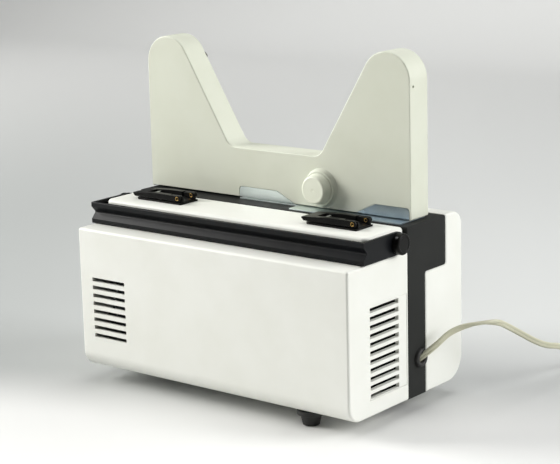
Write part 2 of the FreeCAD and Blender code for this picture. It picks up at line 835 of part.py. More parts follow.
# Reel arms: a V-shaped hollow moulding with a back cover, which stands on a steel bracket on the deck
arm_right_inset = 8.5
arm_left = -half_length
arm_right = half_length - arm_right_inset
arm_slope = math.radians(31.15)
arm_front_y = 19.0
arm_wall = 2.6
arm_front_edge = 1.4
arm_valley_corner = 14.0
arm_foot_corner = 1.5
back_cover_thickness = 2.6
back_cover_edge = 1.2
bracket_thickness = 1.3
tab_outer = 101.4
bracket_margin = 2.1
bracket_centre = arm_right - bracket_margin - tab_outer
left_tab_flat = 47.0
right_tab_flat = 38.4
tab_slope = 26.5
tab_height = 12.4
tab_corner = 3.6
tab_gap = 0.5
flange_fore = 15.5
flange_rear = 26.0
z_arm = z_deck + bracket_thickness
arm_back_y = arm_front_y + arm_thickness
z_tip_centre = z_deck + arm_rise - arm_tip_radius


def arm_corners(inset):
    """The V outline, or one set in from it."""
    left, right = arm_left + inset, arm_right - inset
    low, valley = z_arm + inset, z_deck + arm_valley_rise - inset
    tip = arm_tip_radius - inset
    peak = z_tip_centre + tip * (1 + math.cos(arm_slope)) / math.sin(arm_slope)
    run = (peak - valley) * math.tan(arm_slope)
    foot = max(arm_foot_corner - inset, 0)
    return [(left, low, foot), (left, peak, tip), (left + run, valley, arm_valley_corner + inset),
            (right - run, valley, arm_valley_corner + inset), (right, peak, tip), (right, low, foot)]


def tab_corners(side, grow):
    """One trapezoid tab of the bracket, or its pocket where grow is a gap."""
    tab_flat = left_tab_flat if side < 0 else right_tab_flat
    outer = bracket_centre + side * (tab_outer + grow)
    flat = bracket_centre + side * (tab_outer - tab_flat)
    toe = bracket_centre + side * (tab_outer - tab_flat - tab_slope)
    top = z_deck + tab_height + grow
    return [(outer, z_deck, 0), (outer, top, tab_corner), (flat - side * grow, top, 0),
            (toe - side * grow, z_deck, 0)]


def arm_bracket():
    tabs = [prism("xz", tab_corners(side, 0), arm_front_y, arm_front_y + bracket_thickness)
            for side in SIDES]
    toe = tab_outer - left_tab_flat - tab_slope
    flange = block(bracket_centre - tab_outer, bracket_centre + tab_outer, arm_front_y,
                   arm_front_y + flange_rear, z_deck, z_arm)
    fore = block(bracket_centre - toe, bracket_centre + tab_outer, arm_front_y - flange_fore,
                 arm_front_y + bracket_thickness, z_deck, z_arm)
    holes = [rod(screw_radius, point(x, y, z_deck - overrun), point(x, y, z_arm + overrun))
             for x, y in bracket_screw_places()]
    return cut(fuse(tabs + [flange, fore]), holes)


def bracket_screw_places():
    y = arm_front_y + flange_rear - screw_inset
    return [(bracket_centre + side * (tab_outer - screw_inset), y) for side in SIDES]


def bracket_screws():
    screws = []
    for x, y in bracket_screw_places():
        seat = z_arm + arm_wall
        shank = rod(screw_radius, point(x, y, z_deck - frame_wall), point(x, y, seat))
        head = rod(screw_head_radius, point(x, y, seat), point(x, y, seat + screw_head_height))
        screws.append(fuse([shank, head]))
    return screws


knob_offset = 0.5
knob_rise = 21.3
knob_boss_radius = 19.0
knob_boss_foot = 0.7
knob_boss_waist_height = 2.6
knob_boss_waist_radius = 17.6
knob_boss_height = 4.6
knob_boss_edge = 0.9
knob_foot_radius = 15.2
knob_radius = 13.6
knob_neck_height = 3.4
knob_neck_corner = 3.0
knob_proud = 9.4
knob_cap_edge = 2.2
knob_shaft_radius = 4.0
bush_outer = 7.0
bush_length = 5.0
spindle_radius = 4.0
idler_inset = 60.75
idler_rise = 25.3
z_idler = z_deck + idler_rise
knob_x = bracket_centre + knob_offset
z_knob = z_deck + knob_rise


def spindle_places():
    """Axis of each reel spindle: the middle of each arm's tip."""
    return [(arm_left + arm_tip_radius, z_tip_centre), (arm_right - arm_tip_radius, z_tip_centre)]


def idler_places():
    return [(arm_left + idler_inset, z_idler), (arm_right - idler_inset, z_idler)]


def arm_front_shell():
    outer = prism("xz", arm_corners(0), arm_front_y, arm_back_y - back_cover_thickness)
    outer = round_edges(outer, arm_front_edge,
                        lambda p: near(p.y, arm_front_y) and p.z > z_arm + arm_front_edge)
    inner = prism("xz", arm_corners(arm_wall), arm_front_y + arm_wall, arm_back_y)
    tools = [inner]
    for side in SIDES:
        tools.append(prism("xz", tab_corners(side, tab_gap), arm_front_y - overrun,
                           arm_front_y + bracket_thickness + shaft_gap))
    shell = cut(outer, tools)
    boss_base = point(knob_x, arm_front_y + shaft_gap, z_knob)
    boss = lathe(boss_base, Y_AXIS * -1, X_AXIS, [
        (0, 0, 0), (knob_boss_radius, 0, 0), (knob_boss_radius, knob_boss_foot, 0),
        (knob_boss_waist_radius, knob_boss_waist_height, knob_neck_corner),
        (knob_boss_waist_radius, knob_boss_height, knob_boss_edge), (0, knob_boss_height, 0)])
    pads, bores = [], []
    for x, z in spindle_places() + idler_places():
        wall = arm_front_y + arm_wall
        pads.append(rod(bush_outer, point(x, wall - shaft_gap, z), point(x, wall + bush_length, z)))
        bores.append(rod(spindle_radius + shaft_gap, point(x, wall, z),
                         point(x, wall + bush_length + overrun, z)))
    for x, y in bracket_screw_places():
        bores.append(rod(screw_radius, point(x, y, z_deck), point(x, y, z_arm + arm_wall + overrun)))
    bores.append(rod(knob_shaft_radius + shaft_gap,
                     point(knob_x, arm_front_y - knob_boss_height - overrun, z_knob),
                     point(knob_x, arm_front_y + arm_wall + overrun, z_knob)))
    return cut(fuse([shell, boss] + pads), bores)


def arm_back_cover():
    plate = prism("xz", arm_corners(0), arm_back_y - back_cover_thickness, arm_back_y)
    plate = round_edges(plate, back_cover_edge, lambda p: near(p.y, arm_back_y))
    holes = []
    for x, z in spindle_places():
        holes.append(rod(bush_outer, point(x, arm_back_y - bush_length - overrun, z),
                         point(x, arm_back_y + overrun, z)))
    pads, bores = [], []
    for x, z in idler_places():
        inner = arm_back_y - back_cover_thickness
        pads.append(rod(bush_outer, point(x, inner - bush_length, z), point(x, inner + shaft_gap, z)))
        bores.append(rod(spindle_radius + shaft_gap, point(x, inner - bush_length - overrun, z),
                         point(x, inner, z)))
    return cut(fuse([cut(plate, holes)] + pads), bores)


def spindle_bushes():
    bushes = []
    for x, z in spindle_places():
        bushes.append(ring(bush_outer, spindle_radius + shaft_gap, point(x, arm_back_y - bush_length, z),
                           point(x, arm_back_y + slide_gap, z)))
    return bushes


def clamp_knob():
    base = point(knob_x, arm_front_y - knob_boss_height - slide_gap, z_knob)
    cap = lathe(base, Y_AXIS * -1, X_AXIS, [
        (0, 0, 0), (knob_foot_radius, 0, 0), (knob_radius, knob_neck_height, knob_neck_corner),
        (knob_radius, knob_proud, knob_cap_edge), (0, knob_proud, 0)])
    stem = rod(knob_shaft_radius, base, point(knob_x, arm_front_y + arm_wall + bush_length, z_knob))
    return fuse([cap, stem])


# Reel spindles, their pulleys and belts
reel_seat_radius = 13.0
reel_seat_thickness = 2.4
spindle_reach = 29.4
spindle_core_radius = 6.2
spindle_nose = 5.0
spindle_nose_radius = 2.5
key_width = 1.6
key_height = 1.5
key_share = 0.62
key_count = 3
spindle_groove_radius = 15.0
idler_groove_radius = 11.0
pulley_front_y = 31.0


def reel_spindle(x, z):
    """Shaft with a reel seat, a round core with three keys, and a tapered nose."""
    start = point(x, arm_front_y + arm_wall + slide_gap, z)
    seat_y = arm_back_y + slide_gap * 2
    shaft = rod(spindle_radius, start, point(x, seat_y + reel_seat_thickness, z))
    seat = lathe(point(x, seat_y, z), Y_AXIS, X_AXIS, [
        (0, 0, 0), (reel_seat_radius, 0, 0),
        (reel_seat_radius, reel_seat_thickness, reel_seat_thickness / 3),
        (spindle_core_radius, reel_seat_thickness, 0),
        (spindle_core_radius, spindle_reach - spindle_nose, 0), (spindle_nose_radius, spindle_reach, 0),
        (0, spindle_reach, 0)])
    keys = []
    key_end = seat_y + reel_seat_thickness + (spindle_reach - spindle_nose) * key_share
    for index in range(key_count):
        key = block(x - key_width / 2, x + key_width / 2, seat_y + reel_seat_thickness / 2, key_end,
                    z, z + spindle_core_radius + key_height)
        key.rotate(point(x, 0, z), Y_AXIS, 360 / key_count * index)
        keys.append(key)
    return fuse([shaft, seat] + keys)


def arm_pulley(x, z, groove_radius, bore):
    return pulley(point(x, pulley_front_y, z), Y_AXIS, X_AXIS, groove_radius, bore)


def idler_shaft(x, z):
    wall = arm_front_y + arm_wall
    shaft = rod(spindle_radius, point(x, wall + slide_gap, z),
                point(x, arm_back_y - back_cover_thickness - slide_gap, z))
    return fuse([arm_pulley(x, z, idler_groove_radius, spindle_radius / 2), shaft])


def arm_belt(spindle, idler):
    y0 = pulley_front_y + (pulley_width - belt_width) / 2
    return belt("xz", spindle, spindle_groove_radius, idler, idler_groove_radius, y0, y0 + belt_width)


# Feet: two stepped rubber feet under the lamp end and one under the middle of the lens end
foot_end_inset = 60.5
foot_front_inset = 22.0
foot_rear_inset = 38.0
foot_x = half_length - foot_end_inset
foot_front_y = foot_front_inset - drive_depth
foot_rear_y = film_depth - foot_rear_inset
foot_tread_radius = 7.8
foot_waist_radius = 10.2
foot_top_radius = 13.2
foot_step = 5.0
foot_edge = 1.2


def foot_places():
    return [(foot_x, foot_front_y), (foot_x, foot_rear_y), (-foot_x, band_depth / 2)]


def rubber_foot(x, y):
    return lathe(point(x, y, 0), Z_AXIS, X_AXIS, [
        (0, 0, 0), (foot_tread_radius, 0, foot_edge), (foot_waist_radius, foot_height - foot_step, 0),
        (foot_top_radius, foot_height - foot_step, foot_edge), (foot_top_radius, foot_height, 0),
        (0, foot_height, 0)])


# Mechanism plate on the frame's pillars
plate_thickness = 2.5
pillar_radius = 5.0
pillar_inset = 15.0
pillar_x = half_length - pillar_inset
pillar_low = 14.0
pillar_high = shelf_height - pillar_inset
sprocket_inset = 79.0
sprocket_x = sprocket_inset - half_length
sprocket_pitch = 24.0
sprocket_shaft_radius = 3.0
y_plate = band_depth + plate_thickness


def pillar_places():
    return [(side * pillar_x, z_under + height) for side in SIDES for height in (pillar_low, pillar_high)]


def sprocket_levels():
    return [z_lens + side * sprocket_pitch for side in SIDES]


def mechanism_plate():
    half = half_length - casing_wall - panel_gap
    plate = block(-half, half, band_depth, y_plate, z_under + casing_wall + panel_gap,
                  z_shelf - casing_wall - panel_gap)
    tools = [shutter_slot(band_depth - overrun, y_plate + overrun)]
    for x, z in pillar_places():
        tools.append(rod(plate_screw_radius, point(x, band_depth - overrun, z),
                         point(x, y_plate + overrun, z)))
    for z in sprocket_levels():
        tools.append(rod(sprocket_shaft_radius + shaft_gap, point(sprocket_x, band_depth - overrun, z),
                         point(sprocket_x, y_plate + overrun, z)))
    return cut(plate, tools)


def plate_screws():
    screws = []
    for x, z in pillar_places():
        shank = rod(plate_screw_radius, point(x, band_depth - plate_screw_depth, z), point(x, y_plate, z))
        head = rod(plate_screw_head, point(x, y_plate, z), point(x, y_plate + plate_screw_rise, z))
        screws.append(fuse([shank, head]))
    return screws


# Projection lens, its mount and its focusing ring
lens_radius = 15.0
lens_bore = 12.2
lens_proud = 7.0
lens_length = 75.0
lens_left = -half_length - lens_proud
lens_right = lens_left + lens_length
lens_collar_radius = 16.6
lens_collar = 1.6
ring_length = 11.0
ring_radius = 19.0
ring_groove = 0.9
ring_grooves = 24
mount_inset = 37.0
mount_length = 28.0
mount_left = mount_inset - half_length
mount_right = mount_left + mount_length
mount_radius = 19.0
mount_half_height = 14.0
glass_thickness = 4.0
glass_recess = 1.6


def lens_mount():
    tube = rod(mount_radius, point(mount_left, film_plane_y, z_lens),
               point(mount_right, film_plane_y, z_lens))
    foot = block(mount_left, mount_right, y_plate, film_plane_y, z_lens - mount_half_height,
                 z_lens + mount_half_height)
    bore = rod(lens_radius + shaft_gap, point(mount_left - overrun, film_plane_y, z_lens),
               point(mount_right + overrun, film_plane_y, z_lens))
    return fuse([tube, foot]).cut(bore)


def lens_barrel():
    length = lens_right - lens_left
    ring_end = lens_collar + slide_gap + ring_length + slide_gap
    return lathe(point(lens_left, film_plane_y, z_lens), X_AXIS, Z_AXIS, [
        (lens_bore, 0, 0), (lens_collar_radius, 0, 0), (lens_collar_radius, lens_collar, 0),
        (lens_radius, lens_collar, 0), (lens_radius, ring_end, 0), (lens_collar_radius, ring_end, 0),
        (lens_collar_radius, ring_end + lens_collar, 0), (lens_radius, ring_end + lens_collar, 0),
        (lens_radius, length, 0), (lens_bore, length, 0)])


def lens_glasses():
    starts = (lens_left + glass_recess, lens_right - glass_recess - glass_thickness)
    return [lathe(point(x, film_plane_y, z_lens), X_AXIS, Z_AXIS, [
        (0, 0, 0), (lens_bore, 0, glass_thickness / 4), (lens_bore, glass_thickness, glass_thickness / 4),
        (0, glass_thickness, 0)]) for x in starts]


def focus_ring():
    x0 = lens_left + lens_collar + slide_gap
    body = ring(ring_radius, lens_radius + shaft_gap, point(x0, film_plane_y, z_lens),
                point(x0 + ring_length, film_plane_y, z_lens))
    grooves = []
    for index in range(ring_grooves):
        angle = 2 * math.pi * index / ring_grooves
        y = film_plane_y + ring_radius * math.cos(angle)
        z = z_lens + ring_radius * math.sin(angle)
        grooves.append(rod(ring_groove, point(x0 - overrun, y, z), point(x0 + ring_length + overrun, y, z)))
    return cut(body, grooves)


# Film gate, pressure plate and the two sprockets with their worm wheels
gate_inset = 88.0
gate_left = gate_inset - half_length
gate_thickness = 3.0
gate_half_width = 12.0
gate_half_height = 38.0
gate_foot_half = 26.0
aperture_half_width = 2.9
aperture_half_height = 2.0
pressure_offset = 4.5
pressure_left = gate_left - pressure_offset
pressure_thickness = 2.5
pressure_half_width = 6.0
pressure_half_height = 14.0
pressure_foot_half = 5.0
pressure_window_share = 1.8
sprocket_radius = 8.0
sprocket_drum = 7.0
sprocket_width = 10.0
sprocket_flange = 1.4
sprocket_tooth_radius = 0.5
sprocket_teeth = 12
wheel_radius = 18.1
wheel_start = 10.0
wheel_width = 8.0
worm_radius = 5.8
worm_length = 20.0
worm_left = sprocket_x - worm_length / 2
worm_ridges = 6
worm_depth = 0.9
shaft_radius = 3.0


def aperture(x0, x1, share):
    return block(x0 - overrun, x1 + overrun, film_plane_y - aperture_half_width * share,
                 film_plane_y + aperture_half_width * share, z_lens - aperture_half_height * share,
                 z_lens + aperture_half_height * share)


def film_gate():
    right = gate_left + gate_thickness
    face = block(gate_left, right, film_plane_y - gate_half_width, film_plane_y + gate_half_width,
                 z_lens - gate_half_height, z_lens + gate_half_height)
    foot = block(gate_left, right, y_plate, film_plane_y, z_lens - gate_foot_half, z_lens + gate_foot_half)
    return fuse([face, foot]).cut(aperture(gate_left, right, 1))


def pressure_plate():
    right = pressure_left + pressure_thickness
    face = block(pressure_left, right, film_plane_y - pressure_half_width,
                 film_plane_y + pressure_half_width, z_lens - pressure_half_height,
                 z_lens + pressure_half_height)
    foot = block(pressure_left, right, y_plate, film_plane_y, z_lens - pressure_foot_half,
                 z_lens + pressure_foot_half)
    return fuse([face, foot]).cut(aperture(pressure_left, right, pressure_window_share))


def film_sprocket(z):
    """Shaft in the web and the plate, with a worm wheel at one end and a toothed drum at the other."""
    start = film_plane_y - sprocket_width / 2
    end = start + sprocket_width
    shaft = rod(sprocket_shaft_radius, point(sprocket_x, slide_gap, z), point(sprocket_x, end + overrun, z))
    wheel = rod(wheel_radius, point(sprocket_x, wheel_start, z),
                point(sprocket_x, wheel_start + wheel_width, z))
    drum = lathe(point(sprocket_x, start, z), Y_AXIS, X_AXIS, [
        (0, 0, 0), (sprocket_radius, 0, 0), (sprocket_radius, sprocket_flange, 0),
        (sprocket_drum, sprocket_flange, 0), (sprocket_drum, sprocket_width - sprocket_flange, 0),
        (sprocket_radius, sprocket_width - sprocket_flange, 0), (sprocket_radius, sprocket_width, 0),
        (0, sprocket_width, 0)])
    teeth = []
    for index in range(sprocket_teeth):
        angle = 2 * math.pi * index / sprocket_teeth
        tip = point(sprocket_x + sprocket_radius * math.cos(angle), start + sprocket_flange * 2,
                    z + sprocket_radius * math.sin(angle))
        teeth.append(rod(sprocket_tooth_radius, point(sprocket_x, tip.y, z), tip))
    return fuse([shaft, wheel, drum] + teeth)


# Shutter shaft with its worm, its pulley and the two-bladed disc
shutter_shaft_fore = 46.0
shutter_shaft_aft = 36.0
shutter_shaft_left = shutter_x - shutter_shaft_fore
shutter_shaft_right = shutter_x + shutter_shaft_aft
bearing_margin = 2.0
bearing_length = 8.0
bearing_half = 7.0
shutter_hub_radius = 7.0
shutter_hub_length = 5.0
shutter_root = 16.0
shutter_window_half = math.radians(32)


def shutter_shaft():
    shaft = rod(shaft_radius, point(shutter_shaft_left, shaft_y, z_lens),
                point(shutter_shaft_right, shaft_y, z_lens))
    step = worm_length / worm_ridges
    profile = [(shaft_radius / 2, 0, 0)]
    for index in range(worm_ridges):
        foot = index * step
        profile += [(worm_radius - worm_depth, foot, 0), (worm_radius, foot + step / 3, 0),
                    (worm_radius, foot + step * 2 / 3, 0)]
    profile += [(worm_radius - worm_depth, worm_length, 0), (shaft_radius / 2, worm_length, 0)]
    worm = lathe(point(worm_left, shaft_y, z_lens), X_AXIS, Z_AXIS, profile)
    return fuse([shaft, worm])


def shutter_disc():
    left = shutter_x - shutter_thickness / 2
    disc = rod(shutter_radius, point(left, shaft_y, z_lens),
               point(left + shutter_thickness, shaft_y, z_lens))
    hub = rod(shutter_hub_radius, point(left, shaft_y, z_lens),
              point(left + shutter_thickness + shutter_hub_length, shaft_y, z_lens))
    windows = []
    for middle in (math.pi / 2, -math.pi / 2):
        spots = []
        for reach, angle in ((shutter_root, -1), (shutter_radius * 2, -1), (shutter_radius * 2, 1),
                             (shutter_root, 1)):
            heading = middle + angle * shutter_window_half
            spots.append((shaft_y + reach * math.cos(heading), z_lens + reach * math.sin(heading), 0))
        windows.append(prism("yz", spots, left - overrun, left + shutter_thickness + overrun))
    bore = rod(shaft_radius, point(left - overrun, shaft_y, z_lens),
               point(left + shutter_hub_length + overrun, shaft_y, z_lens))
    return fuse([cut(disc, windows), hub]).cut(bore)


def shutter_bearings():
    bearings = []
    for x0 in (shutter_shaft_left - bearing_margin, shutter_shaft_right - bearing_length + bearing_margin):
        housing = block(x0, x0 + bearing_length, web_thickness, shaft_y + bearing_half,
                        z_lens - bearing_half, z_lens + bearing_half)
        bore = rod(shaft_radius + shaft_gap, point(x0 - overrun, shaft_y, z_lens),
                   point(x0 + bearing_length + overrun, shaft_y, z_lens))
        bearings.append(housing.cut(bore))
    return bearings


# Motor on its bracket, with a fan behind the vents and a belt through the web
motor_front_inset = 42.0
motor_y = motor_front_inset - drive_depth
motor_radius = 30.0
motor_inset = 45.0
motor_length = 47.0
motor_left = motor_inset - half_length
motor_right = motor_left + motor_length
motor_edge = 4.0
motor_boss_radius = 8.0
motor_shaft_fore = 28.0
motor_shaft_aft = 35.0
motor_shaft_left = motor_left - motor_shaft_fore
motor_shaft_right = motor_right + motor_shaft_aft
motor_bracket_thickness = 3.0
motor_bracket_half = 34.0
motor_foot = 26.0
fan_radius = 33.0
fan_gap = 6.0
fan_length = 21.0
fan_right = motor_left - fan_gap
fan_left = fan_right - fan_length
fan_plate = 1.5
fan_root = 17.0
fan_blade = 1.2
fan_blades = 12
fan_hub_radius = 7.0


def motor():
    length = motor_right - motor_left
    end = length + motor_bracket_thickness
    return lathe(point(motor_left, motor_y, z_lens), X_AXIS, Z_AXIS, [
        (shaft_radius + shaft_gap, 0, 0), (motor_radius, 0, motor_edge), (motor_radius, length, motor_edge),
        (motor_boss_radius, length, 0), (motor_boss_radius, end, 0), (shaft_radius + shaft_gap, end, 0)])


def motor_bracket():
    right = motor_right + motor_bracket_thickness
    plate = block(motor_right, right, motor_y - motor_bracket_half, 0, z_lens - motor_bracket_half,
                  z_lens + motor_bracket_half)
    foot = block(motor_right - motor_foot, right, -motor_bracket_thickness, 0, z_lens - motor_bracket_half,
                 z_lens + motor_bracket_half)
    hole = rod(motor_boss_radius, point(motor_right - overrun, motor_y, z_lens),
               point(right + overrun, motor_y, z_lens))
    return fuse([plate, foot]).cut(hole)


def motor_shaft():
    return rod(shaft_radius, point(motor_shaft_left, motor_y, z_lens),
               point(motor_shaft_right, motor_y, z_lens))


def cooling_fan():
    plate = rod(fan_radius, point(fan_right - fan_plate, motor_y, z_lens), point(fan_right, motor_y, z_lens))
    hub = rod(fan_hub_radius, point((fan_left + fan_right) / 2, motor_y, z_lens),
              point(fan_right, motor_y, z_lens))
    blades = []
    for index in range(fan_blades):
        blade = block(fan_left, fan_right - fan_plate / 2, motor_y - fan_blade / 2, motor_y + fan_blade / 2,
                      z_lens + fan_root, z_lens + fan_radius - fan_blade)
        blade.rotate(point(0, motor_y, z_lens), X_AXIS, 360 / fan_blades * index)
        blades.append(blade)
    bore = rod(shaft_radius, point(fan_left - overrun, motor_y, z_lens),
               point(fan_right + overrun, motor_y, z_lens))
    return fuse([plate, hub] + blades).cut(bore)


def x_pulley(y, groove_radius):
    return pulley(point(shutter_pulley_x, y, z_lens), X_AXIS, Z_AXIS, groove_radius, shaft_radius)


def drive_belt():
    x0 = shutter_pulley_x + (pulley_width - belt_width) / 2
    return belt("yz", (motor_y, z_lens), motor_groove_radius, (shaft_y, z_lens), shutter_groove_radius,
                x0, x0 + belt_width)


# Transformer: a laminated core with two windows, and the winding on its middle limb
core_left = 20.0
core_width = 70.0
core_low = 34.0
core_height = 56.0
core_front = -44.0
core_rear = -12.0
core_limb = 12.0
core_window = 14.0
core_foot = 4.0
coil_swell = 9.0


def transformer_windows(y0, y1):
    low, high = core_low + core_limb, core_low + core_height - core_limb
    left = core_left + core_limb
    right = core_left + core_width - core_limb
    return [block(left, left + core_window, y0, y1, low, high),
            block(right - core_window, right, y0, y1, low, high)]


def transformer_core():
    top = core_low + core_height
    stack = block(core_left, core_left + core_width, core_front, core_rear, core_low, top)
    feet = [block(core_left, core_left + core_width, core_rear, 0, z, z + core_foot)
            for z in (core_low, top - core_foot)]
    return fuse([cut(stack, transformer_windows(core_front - overrun, core_rear + overrun))] + feet)


def transformer_coil():
    low, high = core_low + core_limb, core_low + core_height - core_limb
    left = core_left + core_limb
    right = core_left + core_width - core_limb
    whole = block(left, right, core_front - coil_swell, core_rear + coil_swell, low, high)
    limb = block(left + core_window, right - core_window, core_front, core_rear,
                 low - overrun, high + overrun)
    return whole.cut(limb)


# Lamp house: a vented sheet steel box over the reflector lamp, with the condenser in its wall
house_inset = 125.0
house_panel_gap = 24.0
house_left = house_inset - half_length
house_right = panel_left - house_panel_gap
house_rear_gap = 12.0
house_rear = film_depth - house_rear_gap
house_half_height = 32.0
house_low = z_lens - house_half_height
house_high = z_lens + house_half_height
house_sheet = 1.0
house_slots = 6
house_slot_width_share = 0.043860
house_slot_pitch_share = 0.105263
house_slot_start_share = 0.052632
house_slot_margin = 8.0
condenser_radius = 14.0
condenser_bore = 12.0
condenser_fore = 14.0
condenser_left = house_left - condenser_fore
condenser_length = 20.0
condenser_glass = 7.0
lamp_radius = 21.0
lamp_share = 0.543860
lamp_left = house_left + (house_right - house_left) * lamp_share
lamp_depth = 24.0
lamp_neck_radius = 9.0
lamp_neck_share = 0.8
lamp_wall = 1.6
lamp_rim = 3.0
lamp_bulb_radius = 4.5
lamp_bulb_reach = 14.0
holder_length = 12.0
holder_half = 11.0
holder_foot_half = 6.0


def lamp_house():
    outer = block(house_left, house_right, y_plate, house_rear, house_low, house_high)
    inner = block(house_left + house_sheet, house_right + overrun, y_plate - overrun,
                  house_rear - house_sheet, house_low + house_sheet, house_high - house_sheet)
    tools = [inner, rod(condenser_radius, point(house_left - overrun, film_plane_y, z_lens),
                        point(house_left + house_sheet + overrun, film_plane_y, z_lens))]
    length = house_right - house_left
    for index in range(house_slots):
        x0 = house_left + length * (house_slot_start_share + index * house_slot_pitch_share)
        tools.append(block(x0, x0 + length * house_slot_width_share, y_plate + house_slot_margin,
                           house_rear - house_slot_margin, house_low - overrun, house_high + overrun))
    return cut(outer, tools)


def condenser_tube():
    return ring(condenser_radius, condenser_bore, point(condenser_left, film_plane_y, z_lens),
                point(condenser_left + condenser_length, film_plane_y, z_lens))


def condenser_lens():
    x0 = condenser_left + condenser_glass
    return lathe(point(x0, film_plane_y, z_lens), X_AXIS, Z_AXIS, [
        (0, 0, 0), (condenser_bore, 0, condenser_glass / 3),
        (condenser_bore, condenser_glass, condenser_glass / 3),
        (0, condenser_glass, 0)])


def lamp():
    """Reflector bowl that opens toward the gate, with its capsule and its neck."""
    neck = lamp_depth * lamp_neck_share
    return lathe(point(lamp_left, film_plane_y, z_lens), X_AXIS, Z_AXIS, [
        (lamp_radius - lamp_wall, 0, 0), (lamp_radius, 0, 0), (lamp_radius, lamp_rim, 0),
        (lamp_neck_radius, neck, lamp_rim), (lamp_neck_radius, lamp_depth, 0), (0, lamp_depth, 0),
        (0, neck - lamp_bulb_reach, 0), (lamp_bulb_radius, neck - lamp_bulb_reach, lamp_bulb_radius / 2),
        (lamp_bulb_radius, neck - lamp_wall, 0)])


def lamp_holder():
    x0 = lamp_left + lamp_depth
    head = block(x0, x0 + holder_length, film_plane_y - holder_half, film_plane_y + holder_half,
                 z_lens - holder_half, z_lens + holder_half)
    foot = block(x0, x0 + holder_length, y_plate, film_plane_y, z_lens - holder_foot_half,
                 z_lens + holder_foot_half)
    return fuse([head, foot])


# Mains lead: it leaves the band through a rubber grommet, arches back and down, and ends in a round coil
lead_radius = lead_diameter / 2
lead_turn_gap = 0.5
bend_share = 0.45
grommet_flange_radius = 8.8
grommet_flange = 3.6
grommet_edge = 1.6
grommet_recess_radius = 4.8
grommet_recess = 1.6
grommet_inner_flange = 2.0
lead_exit_proud = 0.5
lead_exit = point(half_length + lead_exit_proud, gland_y, z_gland)
lead_heading = point(0.72, 0.3, 0.62).normalize()
lead_root = 2.4
lead_first_run = 15.5
lead_steps = [point(18.7, 28.5, 25), point(46.9, 55.5, 30.4), point(44.1, 88.5, 14.7),
              point(57.9, 126.5, -10.6), point(57.7, 164.5, -19.2)]
lead_spots = [lead_exit + step for step in lead_steps]
coil_end_gap = 97.0
coil_rear_gap = 170.0
coil_x = half_length + coil_end_gap
coil_y = film_depth + coil_rear_gap
coil_outer_radius = 46.5
coil_turns = 6.5
coil_climb_turns = 0.5
lead_last_run = 36.0
tail_run = 10.0
tail_slope_run = 14.0


def tangent_arc(before, corner, after, reach):
    """The arc that leaves the corner's two sides at one reach from it."""
    half_angle = (before - corner).getAngle(after - corner) / 2
    start, middle, end = corner_arc(before, corner, after, reach * math.tan(half_angle))
    return Part.Arc(start, middle, end).toShape(), reach * math.tan(half_angle)


def run_edges(spots):
    """Straight runs joined by tangent arcs, and the arcs' radii."""
    edges, radii = [], []
    start = spots[0]
    for before, corner, after in zip(spots, spots[1:], spots[2:]):
        reach = bend_share * min((corner - before).Length, (after - corner).Length)
        arc, radius = tangent_arc(before, corner, after, reach)
        edges.append(Part.LineSegment(start, arc.valueAt(arc.FirstParameter)).toShape())
        edges.append(arc)
        radii.append(radius)
        start = arc.valueAt(arc.LastParameter)
    edges.append(Part.LineSegment(start, spots[-1]).toShape())
    return edges, radii


def biarc(start, start_way, end, end_way):
    """Two tangent arcs between two points with given headings."""
    chord = end - start
    both = start_way + end_way
    spread = 2 * (1 - start_way.dot(end_way))
    reach = (math.sqrt(chord.dot(both) ** 2 + spread * chord.dot(chord)) - chord.dot(both)) / spread
    joint = (start + end + (start_way - end_way) * reach) / 2
    first, radius = tangent_arc(start, start + start_way * reach, joint, reach)
    second, radius = tangent_arc(joint, end - end_way * reach, end, reach)
    return [first, second]


def coil_spot(turn):
    """A point of the coil: it spirals in on the ground, climbs one layer and spirals out."""
    pitch = lead_diameter + lead_turn_gap
    half = coil_turns / 2
    radius = coil_outer_radius - pitch * (half - abs(half - turn))
    climb = min(max((turn - half) / coil_climb_turns + 1 / 2, 0), 1)
    level = lead_radius + pitch * climb * climb * (3 - 2 * climb)
    angle = math.pi - 2 * math.pi * turn
    return point(coil_x + radius * math.cos(angle), coil_y + radius * math.sin(angle), level)


def coil_way(turn):
    step = point_tolerance
    return (coil_spot(turn + step) - coil_spot(turn - step)).normalize()


def level_way(turn):
    way = coil_way(turn)
    return point(way.x, way.y, 0).normalize()


def coil_edges():
    edges = []
    quarters = round(coil_turns * 4)
    for index in range(quarters):
        turn, following = index / 4, (index + 1) / 4
        edges += biarc(coil_spot(turn), coil_way(turn), coil_spot(following), coil_way(following))
    return edges


def lead_spots_all():
    start = lead_exit - lead_heading * lead_root
    landing = coil_spot(0)
    return [start, lead_exit + lead_heading * lead_first_run] + lead_spots + [
        landing - level_way(0) * lead_last_run, landing]


def tail_spots():
    """From the coil's end down to the plug's middle level."""
    end = coil_spot(coil_turns)
    way = level_way(coil_turns)
    drop = point(0, 0, end.z - plug_thickness / 2)
    across = math.sqrt(tail_slope_run ** 2 - drop.z ** 2)
    first = end + way * tail_run
    second = first + way * across - drop
    return [end, first, second, second + way * tail_run]


def tube(edges):
    path = Part.Wire(edges)
    first = edges[0]
    start = first.valueAt(first.FirstParameter)
    circle = Part.Circle(start, first.tangentAt(first.FirstParameter), lead_radius)
    return path.makePipeShell([Part.Wire(circle.toShape())], True, False)


def least_gap(edges):
    """Least clear distance between stretches of a tube that aren't neighbours on it."""
    samples = 16
    spots, travelled, so_far = [], [], 0
    for edge in edges:
        for spot in edge.discretize(samples)[:-1]:
            if spots:
                so_far += (spot - spots[-1]).Length
            spots.append(spot)
            travelled.append(so_far)
    least = body_length
    for index, spot in enumerate(spots):
        for other in range(index):
            if travelled[index] - travelled[other] > lead_diameter * 3:
                least = min(least, (spot - spots[other]).Length)
    return least - lead_diameter


